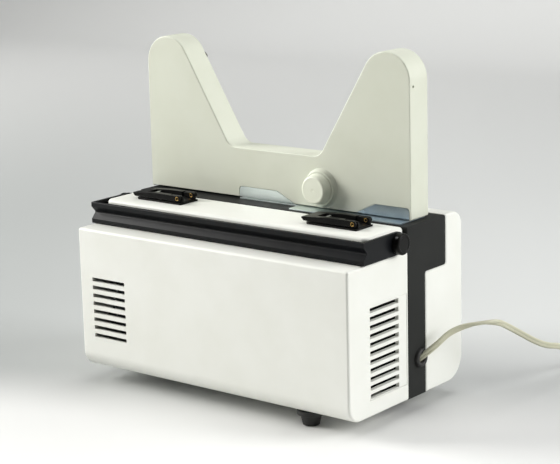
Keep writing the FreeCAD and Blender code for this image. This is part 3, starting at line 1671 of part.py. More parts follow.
def lead_grommet():
    """Rubber ring in the band's end wall, with the hole that the lead fills."""
    base = point(half_length - frame_wall - grommet_inner_flange, gland_y, z_gland)
    neck = grommet_inner_flange + frame_wall
    end = neck + grommet_flange
    inner_radius = gland_hole_radius + grommet_edge
    body = lathe(base, X_AXIS, Z_AXIS, [
        (0, 0, 0), (inner_radius, 0, 0), (inner_radius, grommet_inner_flange, 0),
        (gland_hole_radius, grommet_inner_flange, 0), (gland_hole_radius, neck, 0),
        (grommet_flange_radius, neck, 0), (grommet_flange_radius, end, grommet_edge),
        (grommet_recess_radius, end, grommet_edge), (grommet_recess_radius, end - grommet_recess, 0),
        (0, end - grommet_recess, 0)])
    start = lead_exit - lead_heading * lead_root
    return body.cut(rod(lead_radius, start, lead_exit + lead_heading * lead_first_run))


# Plug: flat two-pin mains plug, which lies beside the coil
plug_width = 35.3
plug_thickness = 13.7
plug_front = 12.0
plug_length = 34.0
plug_waist = 17.0
plug_neck_length = 14.0
plug_neck_radius = 4.6
plug_neck_tip_radius = 3.8
plug_edge = 2.2
plug_corner = 5.0
plug_nose_corner = 3.0
pin_radius = 2.0
pin_length = 19.0
pin_spacing = 18.6
pin_tip_radius = 1.0


def place_plug(shape):
    """Turn a shape made along X from the neck's end, and set it on the lead's end."""
    way = level_way(coil_turns)
    shape.rotate(point(0, 0, 0), Z_AXIS, math.degrees(math.atan2(way.y, way.x)))
    shape.translate(tail_spots()[-1])
    return shape


def plug_body():
    half = plug_thickness / 2
    x0 = plug_neck_length
    x1 = x0 + plug_length
    outline = [(x0, -plug_waist / 2, plug_nose_corner), (x1 - plug_front, -plug_width / 2, plug_corner),
               (x1, -plug_width / 2, plug_nose_corner), (x1, plug_width / 2, plug_nose_corner),
               (x1 - plug_front, plug_width / 2, plug_corner), (x0, plug_waist / 2, plug_nose_corner)]
    grip = prism("xy", outline, -half, half)
    grip = round_edges(grip, plug_edge, lambda spot: near(abs(spot.z), half))
    neck = Part.makeCone(plug_neck_tip_radius, plug_neck_radius, x0 + plug_edge, point(0, 0, 0), X_AXIS)
    return place_plug(fuse([grip, neck]))


def plug_pins():
    start = plug_neck_length + plug_length
    return [place_plug(lathe(point(start, side * pin_spacing / 2, 0), X_AXIS, Z_AXIS, [
        (0, 0, 0), (pin_radius, 0, 0), (pin_radius, pin_length, pin_tip_radius), (0, pin_length, 0)]))
        for side in SIDES]


# The nodes, one file each
feet = [rubber_foot(x, y) for x, y in foot_places()]
keep("centre_frame", centre_frame())
keep("drive_side_casing", drive_side_casing())
keep("exhaust_grille", exhaust_grille())
keep("film_side_casing", film_side_casing())
keep("film_door", film_door())
keep("door_hinge_pins", *door_hinge_pins())
keep("door_catch", door_catch())
keep("control_tray", control_tray())
for knob_name, radius, height in PANEL_KNOBS:
    keep(knob_name, panel_knob(radius, height))
keep("mains_switch", mains_switch())
keep("rubber_feet", *feet)
keep("carry_handle", carry_handle())
keep("hub_caps", *hub_caps())
keep("handle_pivots", *handle_pivots(), *hub_grub_screws())
keep("clip_bases", *[clip_base(side * clip_centre) for side in SIDES])
keep("clip_pins", *[eyelet for side in SIDES for eyelet in clip_eyelets(side * clip_centre)])
for side, clip_name in zip(SIDES, ("left", "right")):
    keep("clip_lever_" + clip_name, clip_lever(side * clip_centre))
    keep("clip_stud_" + clip_name, clip_stud(side * clip_centre))
keep("arm_bracket", arm_bracket())
keep("frame_screws", *bracket_screws(), *plate_screws())
keep("arm_front_shell", arm_front_shell())
keep("arm_back_cover", arm_back_cover())
keep("clamp_knob", clamp_knob())
keep("spindle_bushes", *spindle_bushes())
for spindle, idler, reel_name in zip(spindle_places(), idler_places(), ("feed", "take_up")):
    keep(reel_name + "_spindle", reel_spindle(*spindle),
         arm_pulley(*spindle, spindle_groove_radius, spindle_radius))
    keep(reel_name + "_idler", idler_shaft(*idler))
    keep(reel_name + "_belt", arm_belt(spindle, idler))
keep("mechanism_plate", mechanism_plate())
keep("lens_mount", lens_mount())
keep("lens_barrel", lens_barrel())
keep("lens_glasses", *lens_glasses())
keep("focus_ring", focus_ring())
keep("film_gate", film_gate(), pressure_plate())
for level, sprocket_name in zip(sprocket_levels(), ("lower", "upper")):
    keep(sprocket_name + "_sprocket", film_sprocket(level))
keep("shutter_shaft", shutter_shaft(), x_pulley(shaft_y, shutter_groove_radius))
keep("shutter_disc", shutter_disc())
keep("shutter_bearings", *shutter_bearings())
keep("motor", motor())
keep("motor_bracket", motor_bracket())
keep("motor_shaft", motor_shaft(), x_pulley(motor_y, motor_groove_radius))
keep("cooling_fan", cooling_fan())
keep("drive_belt", drive_belt())
keep("transformer_core", transformer_core())
keep("transformer_coil", transformer_coil())
keep("lamp_house", lamp_house(), condenser_tube())
keep("condenser_lens", condenser_lens())
keep("lamp", lamp())
keep("lamp_holder", lamp_holder())
keep("lead_grommet", lead_grommet())
free_edges, free_radii = run_edges(lead_spots_all())
tail_edges, tail_radii = run_edges(tail_spots())
keep("mains_lead", tube(free_edges))
keep("lead_coil", tube(coil_edges() + tail_edges))
keep("plug_body", plug_body())
keep("plug_pins", *plug_pins())

for lead_name, edges in (("mains_lead", free_edges), ("lead_coil", coil_edges() + tail_edges)):
    run = sum(edge.Length for edge in edges)
    print(lead_name, "length", round(run, 1), "volume", round(NODES[lead_name].Volume),
          "section times length", round(math.pi * lead_radius ** 2 * run))
print("bend radii", [round(radius, 1) for radius in free_radii + tail_radii])
print("least gap of the coil to itself", round(least_gap(coil_edges() + tail_edges), 2))

for node, shape in NODES.items():
    shape.exportStep("parts/" + node + ".step")
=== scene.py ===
import json
import math

import bmesh
import bpy
from mathutils import Matrix, Vector


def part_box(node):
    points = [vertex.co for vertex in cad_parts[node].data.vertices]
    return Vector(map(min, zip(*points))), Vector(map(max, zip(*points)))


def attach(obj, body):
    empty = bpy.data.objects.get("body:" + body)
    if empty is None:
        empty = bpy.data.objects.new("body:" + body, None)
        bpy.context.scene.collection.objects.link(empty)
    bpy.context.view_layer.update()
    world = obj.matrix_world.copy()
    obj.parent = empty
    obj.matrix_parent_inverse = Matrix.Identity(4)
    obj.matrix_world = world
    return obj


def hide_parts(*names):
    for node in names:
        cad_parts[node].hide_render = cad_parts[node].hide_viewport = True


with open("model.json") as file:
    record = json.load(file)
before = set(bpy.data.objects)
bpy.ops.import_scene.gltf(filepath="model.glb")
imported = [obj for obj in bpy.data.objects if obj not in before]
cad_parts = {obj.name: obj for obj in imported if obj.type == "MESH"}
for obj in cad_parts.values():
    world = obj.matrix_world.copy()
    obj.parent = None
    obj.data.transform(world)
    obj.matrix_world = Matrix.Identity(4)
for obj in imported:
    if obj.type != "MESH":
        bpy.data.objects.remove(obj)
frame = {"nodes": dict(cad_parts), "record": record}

bl_info = {
    "name": "Cine projector",
    "version": (1, 0, 0),
    "blender": (4, 5, 0),
    "location": "View3D > Sidebar > Projector",
    "description": "Builds a portable cine projector with raised reel arms on its packed frame",
    "category": "Add Mesh",
}

# +X is the lamp end, +Y the film side and +Z up; the feet stand on Z = 0. Lengths are in metres.
mm = 0.001
X, Y, Z = Vector((1, 0, 0)), Vector((0, 1, 0)), Vector((0, 0, 1))
SIDES = (-1, 1)
ARC_SAG = 0.03 * mm  # how far a straight step may cut inside its arc
OVERRUN = 2 * mm  # how far a cutting tool stands out past what it cuts
FOLD = 2.5 * mm  # height of the dark slot along the arm housing's foot

casing_low, casing_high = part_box("drive_side_casing")
film_low, film_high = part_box("film_side_casing")
band_low, band_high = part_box("centre_frame")
arm_low, arm_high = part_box("arm_front_shell")
cover_low, cover_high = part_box("arm_back_cover")
handle_low, handle_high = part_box("carry_handle")
knob_low, knob_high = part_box("clamp_knob")
grille_low, grille_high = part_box("exhaust_grille")
grommet_low, grommet_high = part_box("lead_grommet")
hub_low, hub_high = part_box("hub_caps")
feet_low, feet_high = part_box("rubber_feet")
base_low, base_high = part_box("clip_bases")
DECK = casing_high.z
UNDER = casing_low.z
HALF = casing_high.x
ARM_FRONT = 19 * mm  # front face of the reel arm housing
BRACKET_MIDDLE = 53 * mm  # middle of the arms' bracket along X
BRACKET_HALF = 101.4 * mm  # half of the bracket's length
PIN_INSET = 4.6 * mm  # from the right end of a clip's base to its pin
PIN_RISE = 5.9 * mm  # height of the clips' pins above the deck
COIL_PITCH = 6.5 * mm  # from one turn of the put-away lead to the next
COIL_MIDDLE = Vector((0.262, 0.262, 0))
GLAND = Vector((HALF, (grommet_low.y + grommet_high.y) / 2, (grommet_low.z + grommet_high.z) / 2))


def length(name, description, size):
    return bpy.props.FloatProperty(name=name, description=description, default=size * mm, min=0.0,
                                   unit="LENGTH", precision=5)


def linear(code):
    """The linear colour of an sRGB hex value."""
    parts = [int(code[i:i + 2], 16) / 255 for i in (1, 3, 5)]
    return tuple(c / 12.92 if c <= 0.04045 else ((c + 0.055) / 1.055) ** 2.4 for c in parts) + (1.0,)


def colour(name, description, code):
    return bpy.props.FloatVectorProperty(name=name, description=description, subtype="COLOR", size=4,
                                         min=0.0, max=1.0, default=linear(code))


class CasingSettings(bpy.types.PropertyGroup):
    wall: length("Wall", "Thickness of the moulded walls", 2.8)
    under_radius: length("Under radius", "Radius along the drive side's lower front edge", 17.0)
    ledge_radius: length("Ledge radius", "Radius along the front edge of the handle's ledge", 2.8)
    end_radius: length("End radius", "Radius round the casing's ends", 2.4)
    ledge_height: length("Ledge height", "Height of the handle's ledge above the underside", 142.3)
    block_inset: length("Block inset", "How far the top block stands in from each end", 4.0)
    block_depth: length("Block depth", "Depth of the raised top block", 56.0)
    block_corner: length("Block corner", "Corner radius of the top block in plan", 8.0)
    vent_count: bpy.props.IntProperty(name="Vents", description="Number of vent slots", default=8)
    vent_top: length("Vent top", "Height of the highest vent slot above the underside", 92.0)
    vent_pitch: length("Vent pitch", "Distance from one vent slot to the next", 8.13)
    vent_height: length("Vent height", "Height of a vent slot", 4.0)
    vent_length: length("Vent length", "Length of a vent slot", 43.0)
    vent_margin: length("Vent margin", "Distance from the casing's left end to the slots", 16.8)


class GrilleSettings(bpy.types.PropertyGroup):
    count: bpy.props.IntProperty(name="Louvres", description="Number of louvres in the exhaust grille", default=11)
    pitch: length("Pitch", "Distance from one louvre to the next", 8.04)
    slot_height: length("Slot height", "Height of the gap over each louvre", 4.5)
    slot_length: length("Slot length", "Length of each gap", 44.6)
    thickness: length("Thickness", "Thickness of the insert", 4.0)
    rise: length("Rise", "How far each slot's floor climbs on its way in", 0.3)


class ArmSettings(bpy.types.PropertyGroup):
    tip_radius: length("Tip radius", "Radius of each arm's round tip", 26.8)
    valley_height: length("Valley height", "Height of the valley between the arms above the underside", 216.2)
    valley_radius: length("Valley radius", "Radius where the arms meet the valley", 14.0)
    slope: bpy.props.FloatProperty(name="Slope", description="Lean of the arms' inner edges from upright",
                                   default=math.radians(31.15), subtype="ANGLE")
    front_edge: length("Front edge", "Radius round the front face", 1.4)
    wall: length("Wall", "Thickness of the arm housing's walls", 2.6)
    boss_radius: length("Boss radius", "Radius of the clamp knob's boss at the housing", 19.0)
    boss_height: length("Boss height", "How far the boss stands from the housing", 4.6)


class HandleSettings(bpy.types.PropertyGroup):
    wall: length("Wall", "Thickness of the folded bar, measured front to back", 3.4)
    lip: length("Lip", "Height of the bar's two lips", 4.6)
    channel: length("Channel", "Depth of the bar's fold", 5.5)
    fold_radius: length("Fold radius", "Radius in the bottom of the fold", 1.6)
    arm_thickness: length("Arm thickness", "Thickness of the handle's side arms", 3.2)
    pivot_setback: length("Pivot setback", "Distance from the casing's seam to the handle's pivot", 17.0)


class ClipSettings(bpy.types.PropertyGroup):
    spacing: length("Spacing", "Distance from the middle of the projector to each clip", 106.1)
    span: length("Span", "Length of a clip's base", 59.6)
    cheek: length("Cheek", "Thickness of the lever's side cheeks", 2.6)
    eyelet_radius: length("Eyelet radius", "Outer radius of the brass eyelets", 2.0)
    tip_height: length("Tip height", "Height of the lever's tip above the deck", 6.6)
    top_height: length("Top height", "Height of the lever's back above the deck", 8.8)


class LeadSettings(bpy.types.PropertyGroup):
    width: length("Width", "Width of the flat two-core lead", 6.2)
    thickness: length("Thickness", "Height of one layer of the coil", 4.2)
    lobe: length("Lobe", "Radius of the lobe round each core", 1.85)
    coil_radius: length("Coil radius", "Radius of the put-away coil's outer turn", 46.5)
    coil_turns: bpy.props.FloatProperty(name="Coil turns", description="Turns in the put-away coil", default=6.5)


class FinishSettings(bpy.types.PropertyGroup):
    white: colour("White", "Colour of the satin white casings", "#E8E9E3")
    cream: colour("Cream", "Colour of the arm housing and its knob", "#D1D4C5")
    frame_black: colour("Frame black", "Colour of the painted centre frame", "#282928")
    handle_black: colour("Handle black", "Colour of the carry handle", "#0D0E0F")
    clip_black: colour("Clip black", "Colour of the toggle clips", "#0B0B0A")
    zinc: colour("Zinc", "Colour of the zinc plated bracket", "#A6B2B6")
    brass: colour("Brass", "Colour of the eyelets and bushes", "#A5864F")
    lead: colour("Lead", "Colour of the mains lead", "#C2C1AA")
    floor: colour("Floor", "Colour of the floor and backdrop", "#E3E3E1")


# Making by hand: each helper does one step that a maker does in edit mode
def activate(piece):
    """Leave edit mode and select this one piece."""
    if bpy.context.object and bpy.context.object.mode != "OBJECT":
        bpy.ops.object.mode_set(mode="OBJECT")
    bpy.ops.object.select_all(action="DESELECT")
    piece.select_set(True)
    bpy.context.view_layer.objects.active = piece


def edit(piece, kind="VERT"):
    activate(piece)
    bpy.ops.object.mode_set(mode="EDIT")
    bpy.ops.mesh.select_mode(type=kind)


def pick(piece, kind, wanted):
    """In edit mode, select the faces or edges that pass a test by place or normal."""
    edit(piece, kind)
    bpy.ops.mesh.select_all(action="DESELECT")
    mesh = bmesh.from_edit_mesh(piece.data)
    chosen = [part for part in (mesh.faces if kind == "FACE" else mesh.edges) if wanted(part)]
    for part in chosen:
        part.select_set(True)
    bmesh.update_edit_mesh(piece.data)
    return len(chosen)


def eased(share):
    """A smooth step from 0 to 1."""
    share = min(max(share, 0), 1)
    return share * share * (3 - 2 * share)


def near(a, b):
    return abs(a - b) < 0.02 * mm


def arc_steps(radius, turn):
    return max(2, math.ceil(abs(turn) / (2 * math.acos(1 - min(0.5, ARC_SAG / radius)))))


def stations(corners, closed):
    """(start, centre, turn, end) of each corner of an outline of (u, v, radius)."""
    spots = [Vector((u, v)) for u, v, radius in corners]
    found = []
    for index, (u, v, radius) in enumerate(corners):
        here = spots[index]
        at_end = not closed and index in (0, len(spots) - 1)
        if radius <= 0 or at_end:
            found.append((here, None, 0, here, 0))
            continue
        back = (spots[index - 1] - here).normalized()
        ahead = (spots[(index + 1) % len(spots)] - here).normalized()
        half = back.angle(ahead) / 2
        turn = (math.pi - 2 * half) * (1 if back.x * ahead.y - back.y * ahead.x < 0 else -1)
        centre = here + (back + ahead).normalized() * (radius / math.sin(half))
        reach = radius / math.tan(half)
        found.append((here + back * reach, centre, turn, here + ahead * reach, radius))
    return found


def draw_out(way):
    bpy.ops.mesh.extrude_region_move(TRANSFORM_OT_translate={"value": way})


def trace(name, origin, u_way, v_way, corners, closed=True):
    """Run one vertex along an outline, and spin it round each rounded corner."""
    bpy.ops.object.select_all(action="DESELECT")
    bpy.ops.mesh.primitive_plane_add(size=mm)
    piece = bpy.context.object
    piece.name = piece.data.name = name

    def place(spot):
        return origin + u_way * spot.x + v_way * spot.y

    path = stations(corners, closed)
    axis = u_way.cross(v_way)
    edit(piece)
    bpy.ops.mesh.merge(type="CENTER")
    bpy.ops.transform.translate(value=place(path[0][0]))
    here = path[0][0]
    for start, centre, turn, end, radius in path:
        if (start - here).length > 1e-7:
            draw_out(place(start) - place(here))
        if centre is not None:
            bpy.ops.mesh.spin(steps=arc_steps(radius, turn), angle=-turn, center=place(centre), axis=axis)
        here = end
    if closed:
        draw_out(place(path[0][0]) - place(here))
        bpy.ops.mesh.select_all(action="SELECT")
        bpy.ops.mesh.remove_doubles(threshold=1e-6)
        bpy.ops.mesh.edge_face_add()
    return piece


def seal(doubles=0):
    """Merge doubles where asked, turn every face outward and leave edit mode."""
    bpy.ops.mesh.select_all(action="SELECT")
    if doubles:
        bpy.ops.mesh.remove_doubles(threshold=doubles)
    bpy.ops.mesh.normals_make_consistent(inside=False)
    bpy.ops.object.mode_set(mode="OBJECT")


def slab(name, plane, start, end, corners):
    """A traced outline in a plane such as xz, drawn out from start to end across it."""
    ways = {"x": X, "y": Y, "z": Z}
    across = next(ways[letter] for letter in "xyz" if letter not in plane)
    piece = trace(name, across * start, ways[plane[0]], ways[plane[1]], corners)
    draw_out(across * (end - start))
    seal()
    return piece


def turned(name, base, axis, side, profile, steps=48):
    """A profile of (radius, height, corner radius) spun right round an axis."""
    piece = trace(name, base, side, axis, profile, closed=False)
    bpy.ops.mesh.select_all(action="SELECT")
    bpy.ops.mesh.spin(steps=steps, angle=2 * math.pi, center=base, axis=axis)
    seal(2e-6)
    return piece


def block(name, low, high):
    """A box between two corners, its place in its mesh."""
    low, high = Vector(low), Vector(high)
    bpy.ops.object.select_all(action="DESELECT")
    bpy.ops.mesh.primitive_cube_add(size=1, location=(low + high) / 2, scale=high - low)
    bpy.ops.object.transform_apply(location=True, rotation=True, scale=True)
    bpy.context.object.name = name
    return bpy.context.object


def bar(name, start, end, radius, steps=32):
    """A round bar between two points."""
    way = end - start
    side = way.orthogonal().normalized()
    return turned(name, start, way.normalized(), side, [(0, 0, 0), (radius, 0, 0), (radius, way.length, 0),
                                                       (0, way.length, 0)], steps)


def round_edges(piece, radius, wanted, segments=5):
    """Bevel the edges whose two ends pass a test."""
    if pick(piece, "EDGE", lambda e: wanted(e.verts[0].co, e.verts[1].co)):
        bpy.ops.mesh.bevel(offset=radius, segments=segments, profile=0.5, affect="EDGES", clamp_overlap=False)
    bpy.ops.object.mode_set(mode="OBJECT")
    return piece


def finish_modifier(piece, kind, **settings):
    modifier = piece.modifiers.new(kind, kind)
    for key, value in settings.items():
        setattr(modifier, key, value)
    activate(piece)
    bpy.ops.object.modifier_apply(modifier=modifier.name)
    return piece


def combine(piece, others, operation="DIFFERENCE"):
    """Cut others out of a piece, or join them on to it as one skin."""
    for other in others:
        finish_modifier(piece, "BOOLEAN", object=other, operation=operation, solver="EXACT")
        bpy.data.objects.remove(other)
    return piece


def add_object(name, data):
    """A new object in the scene round data such as a mesh or a light."""
    piece = bpy.data.objects.new(name, data)
    bpy.context.scene.collection.objects.link(piece)
    return piece


def gather(name, parts):
    """Several parts as one object."""
    activate(parts[0])
    for part in parts:
        part.select_set(True)
    if len(parts) > 1:
        bpy.ops.object.join()
    parts[0].name = parts[0].data.name = name
    return parts[0]


def soften(piece, width, segments=2, angle=38):
    """Take the sharpness off every edge, as a mould or a file does."""
    return finish_modifier(piece, "BEVEL", width=width, segments=segments, limit_method="ANGLE",
                           angle_limit=math.radians(angle), use_clamp_overlap=True, miter_outer="MITER_ARC")


def merged_copy(node, name):
    """A copy of a CAD node's mesh with its loose triangles merged and its flat faces whole."""
    piece = frame["nodes"][node].copy()
    piece.data = frame["nodes"][node].data.copy()
    for key in list(piece.keys()):
        del piece[key]
    piece.parent = None
    piece.name = piece.data.name = name
    bpy.context.scene.collection.objects.link(piece)
    edit(piece)
    bpy.ops.mesh.select_all(action="SELECT")
    bpy.ops.mesh.customdata_custom_splitnormals_clear()
    bpy.ops.mesh.remove_doubles(threshold=2e-6)
    bpy.ops.mesh.dissolve_limited(angle_limit=math.radians(0.6))
    bpy.ops.object.mode_set(mode="OBJECT")
    return piece


def put_on(piece, slot, *nodes, body="projector_body", finish=None):
    """Shade a finished piece, give it its material, and set it on its body in place of CAD nodes."""
    activate(piece)
    bpy.ops.object.shade_smooth_by_angle(angle=math.radians(34))
    finish_modifier(piece, "WEIGHTED_NORMAL", keep_sharp=True, weight=60)
    piece.data.materials.clear()
    piece.data.materials.append(finishes()[finish or slot])
    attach(piece, body)
    if nodes:
        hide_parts(*nodes)
    return piece


# Finishes
def add(tree, kind, settings=None, links=None):
    """Add one node with its settings, and its inputs linked from (node, output) pairs."""
    node = tree.nodes.new("ShaderNode" + kind)
    for key, value in (settings or {}).items():
        if isinstance(key, str) and hasattr(node, key):
            setattr(node, key, value)
        else:
            node.inputs[key].default_value = linear(value) if isinstance(value, str) else value
    for key, (source, output) in (links or {}).items():
        tree.links.new(source.outputs[output], node.inputs[key])
    return node


def start(name):
    material = bpy.data.materials.get(name)
    if material:
        return material, None, None
    material = bpy.data.materials.new(name)
    material.use_nodes = True
    tree = material.node_tree
    tree.nodes.clear()
    return material, tree, add(tree, "TexCoord")


def close(tree, surface, output="BSDF"):
    add(tree, "OutputMaterial", links={"Surface": (surface, output)})


def clouded(tree, place, base, other, size, share, detail=3):
    """A colour that drifts between two shades over a real size in metres."""
    noise = add(tree, "TexNoise", {"Scale": 1 / size, "Detail": detail}, {"Vector": (place, "Object")})
    amount = add(tree, "MapRange", {"From Min": 0.35, "From Max": 0.75, "To Min": 0.0, "To Max": share},
                 {"Value": (noise, "Fac")})
    return add(tree, "Mix", {"data_type": "RGBA", 6: base, 7: other}, {0: (amount, "Result")})


def moulded(name, base, aged, roughness=0.42, grain=0.9 * mm, depth=0.02 * mm, share=0.5, cloud=45 * mm, shine=0.5):
    """Moulded plastic or rubber, and in the same way paint, enamel, varnish and glaze.

    To the eye: a fine grain breaks up the sheen, and the colour drifts a little with age."""
    material, tree, place = start(name)
    if tree is None:
        return material
    tint = clouded(tree, place, base, aged, cloud, share)
    grain_noise = add(tree, "TexNoise", {"Scale": 1 / grain, "Detail": 2}, {"Vector": (place, "Object")})
    bump = add(tree, "Bump", {"Strength": 0.5, "Distance": depth}, {"Height": (grain_noise, "Fac")})
    haze = add(tree, "TexNoise", {"Scale": 1 / (12 * mm), "Detail": 4}, {"Vector": (place, "Object")})
    rough = add(tree, "MapRange", {"To Min": roughness - 0.05, "To Max": roughness + 0.07},
                {"Value": (haze, "Fac")})
    close(tree, add(tree, "BsdfPrincipled", {"IOR": 1.5, "Specular IOR Level": shine},
                    {"Base Color": (tint, 2), "Roughness": (rough, "Result"), "Normal": (bump, "Normal")}))
    return material


def metal(name, base, other, roughness=0.3, cloud=14 * mm, share=0.6, line=0.5 * mm, along=(0.02, 1, 1), painted_reflection_tint=None):
    """Bare or plated metal: fine lines from rolling or turning, a film that drifts in colour, and where
    its last argument is given, a painted reflection: lighter towards the bracket's left tab."""
    material, tree, place = start(name)
    if tree is None:
        return material
    tint = clouded(tree, place, base, other, cloud, share, 4)
    # painted reflection: below X = 25 mm the colour turns lighter, over the bracket's left tab
    if painted_reflection_tint:
        parts = add(tree, "SeparateXYZ", links={"Vector": (place, "Object")})
        reflection_share = add(tree, "MapRange", {"From Min": 25 * mm, "From Max": 75 * mm}, {"Value": (parts, "X")})
        tint = add(tree, "Mix", {"data_type": "RGBA", 6: painted_reflection_tint}, {0: (reflection_share, "Result"), 7: (tint, 2)})
    stretched = add(tree, "Mapping", {"Scale": along}, {"Vector": (place, "Object")})
    lines = add(tree, "TexNoise", {"Scale": 1 / line, "Detail": 3}, {"Vector": (stretched, "Vector")})
    bump = add(tree, "Bump", {"Strength": 0.25, "Distance": 0.01 * mm}, {"Height": (lines, "Fac")})
    rough = add(tree, "MapRange", {"To Min": roughness - 0.08, "To Max": roughness + 0.1},
                {"Value": (lines, "Fac")})
    close(tree, add(tree, "BsdfPrincipled", {"Metallic": 1.0},
                    {"Base Color": (tint, 2), "Roughness": (rough, "Result"), "Normal": (bump, "Normal")}))
    return material


def glass_finish(name, base, roughness=0.02):
    """Optical glass: clear, with the faint tint of its coating."""
    material, tree, place = start(name)
    if tree is None:
        return material
    smear = add(tree, "TexNoise", {"Scale": 1 / (6 * mm)}, {"Vector": (place, "Object")})
    rough = add(tree, "MapRange", {"To Min": roughness, "To Max": roughness + 0.05}, {"Value": (smear, "Fac")})
    close(tree, add(tree, "BsdfPrincipled", {"Base Color": base, "IOR": 1.52, "Transmission Weight": 0.85},
                    {"Roughness": (rough, "Result")}))
    return material


def finishes():
    """Every finish on the projector by its material slot, and the knob's own."""
    look = bpy.context.scene.projector_finish
    vinyl = moulded("Beige_flexible_vinyl", look.lead, "#B4B298", 0.3, 0.7 * mm, 0.008 * mm)
    return {
        "casing_white": moulded("Satin_white_moulded_ABS", look.white, "#DFE0D7", 0.42),
        "knob": moulded("Satin_cream_moulded_ABS_of_the_knob", "#E0E3D3", "#D8DBCA", 0.4),
        "arm_cream": moulded("Satin_cream_moulded_ABS", look.cream, "#C8CBB9", 0.45),
        "frame_black": moulded("Black_satin_paint_on_cast_alloy", look.frame_black, "#2E2F2D", 0.6,
                         1.3 * mm, 0.03 * mm, shine=0.08),
        "handle_black": moulded("Black_moulded_ABS_handle", look.handle_black, "#12151A", 0.33,
                          0.8 * mm, 0.012 * mm, shine=0.14),
        "trim_black": moulded("Black_moulded_nylon", look.clip_black, "#131312", 0.33, 0.7 * mm, 0.01 * mm, shine=0.12),
        # the zinc's lighter left part is a painted reflection
        "zinc_steel": metal("Blue_zinc_plated_steel", look.zinc, "#74879C", 0.36, painted_reflection_tint="#E0EAE8"),
        "bright_steel": metal("Bright_turned_steel", "#C4C6C8", "#B2B4B6", 0.24),
        "brass": metal("Turned_brass", look.brass, "#7E6335", 0.32, 6 * mm),
        "rubber": moulded("Black_moulded_rubber", "#1C1C1B", "#2A2A28", 0.62, 1.1 * mm, 0.04 * mm),
        "lead_vinyl": vinyl,
        "plug_plastic": vinyl,
        "inner_alloy": metal("Milled_aluminium_alloy", "#C9CACB", "#B7B9BA", 0.34, line=0.8 * mm),
        "motor_steel": moulded("Grey_stoved_enamel_on_steel", "#53565A", "#484B4E", 0.35),
        "core_steel": moulded("Varnished_iron_laminations", "#3A3A3C", "#4A4038", 0.45, 1.0 * mm, 0.1 * mm),
        "winding": moulded("Varnished_tape_over_copper", "#9A5B2C", "#C0813F", 0.5, 2.0 * mm, 0.1 * mm),
        "glass": glass_finish("Coated_optical_glass", "#D8E6EA"),
        "ceramic": moulded("Glazed_ceramic", "#E4E0D4", "#D6D0C2", 0.2, 1.5 * mm, 0.01 * mm),
        "grey_plastic": moulded("Grey_moulded_ABS", "#46484B", "#3E4042", 0.42),
    }


def tab_outline(side, grow):
    """One tab of the arms' bracket, or its pocket where grow is the gap round it."""
    edge = BRACKET_MIDDLE + side * (BRACKET_HALF + grow)
    flat = BRACKET_MIDDLE + side * ((54.4 if side < 0 else 63.0) * mm - grow)
    toe = flat - side * 26.5 * mm
    top = DECK + 12.4 * mm + grow
    return [(edge, DECK, 0), (edge, top, 3.6 * mm), (flat, top, 0.8 * mm), (toe, DECK, 0)]


# Pieces
class Step:
    """What the steps share: build() makes the step's pieces from the scene's settings."""
    def execute(self, context):
        self.build(context.scene)
        return {"FINISHED"}


class PROJECTOR_OT_drive_casing(Step, bpy.types.Operator):
    """White casing of the drive side: ledge, top block, vent slots and grille opening"""
    bl_idname = "projector.drive_casing"
    bl_label = "Drive side casing"

    def form(self, s, inset, back, name):
        front = casing_low.y + inset
        end = HALF - inset
        ledge = UNDER + s.ledge_height - inset
        lower = slab(name, "yz", -end, end, [
            (back, UNDER + inset, 0), (front, UNDER + inset, s.under_radius - inset),
            (front, ledge, max(s.ledge_radius - inset, 0)), (back, ledge, 0)])
        half = end - s.block_inset
        fore = -(s.block_depth - inset)
        rear = 3 * mm if inset == 0 else 0
        upper = slab(name + "_block", "xy", ledge - s.wall, DECK - inset, [
            (-half, back, rear), (-half, fore, s.block_corner - inset), (half, fore, s.block_corner - inset),
            (half, back, rear)])
        if inset == 0:
            round_edges(lower, s.end_radius, lambda a, b: near(abs(a.x), end) and near(abs(b.x), end)
                        and near(a.x, b.x) and not (near(a.y, 0) and near(b.y, 0)))
            round_edges(upper, 3 * mm, lambda a, b: near(a.z, DECK) and near(b.z, DECK))
        return combine(lower, [upper], "UNION")

    def build(self, scene):
        s = scene.projector_casing
        shell = self.form(s, 0, 0, "Drive_side_casing")
        combine(shell, [self.form(s, s.wall, OVERRUN, "Hollow")])
        left = -HALF + s.vent_margin
        right = left + s.vent_length
        slots = []
        for index in range(s.vent_count):
            middle = UNDER + s.vent_top - index * s.vent_pitch
            low, top = middle - s.vent_height / 2, middle + s.vent_height / 2
            slots.append(slab("Vent", "xz", casing_low.y - OVERRUN, casing_low.y + s.wall + OVERRUN, [
                (u, v, 0.5 * mm) for u, v in ((left, low), (right, low), (right, top), (left, top))]))
        gap = 0.3 * mm
        slots.append(block("Opening", (HALF - s.wall - OVERRUN, grille_low.y - gap, grille_low.z - gap),
                           (HALF + OVERRUN, grille_high.y + gap, grille_high.z + gap)))
        combine(shell, [gather("Openings", slots)])
        soften(shell, 0.3 * mm)
        put_on(shell, "casing_white", "drive_side_casing")


class PROJECTOR_OT_exhaust_grille(Step, bpy.types.Operator):
    """Thick snap-in insert in the lamp end, whose slots have sloping floors"""
    bl_idname = "projector.exhaust_grille"
    bl_label = "Exhaust grille"

    def build(self, scene):
        g = scene.projector_grille
        outer = grille_high.x
        inner = outer - g.thickness
        grille = block("Exhaust_grille", (inner, grille_low.y, grille_low.z), grille_high)
        y0 = grille_low.y + 1.2 * mm
        first = grille_high.z - 3.5 * mm
        slots = []
        for index in range(g.count):
            top = first - index * g.pitch + g.slot_height / 2
            bottom = top - g.slot_height
            slots.append(slab("Slot", "xz", y0, y0 + g.slot_length, [
                (outer + OVERRUN, bottom, 0), (outer + OVERRUN, top, 0), (inner - OVERRUN, top, 0),
                (inner - OVERRUN, bottom + g.rise, 0), (inner, bottom + g.rise, 0), (outer, bottom, 0)]))
        combine(grille, [gather("Slots", slots)])
        soften(grille, 0.25 * mm)
        put_on(grille, "casing_white", "exhaust_grille")


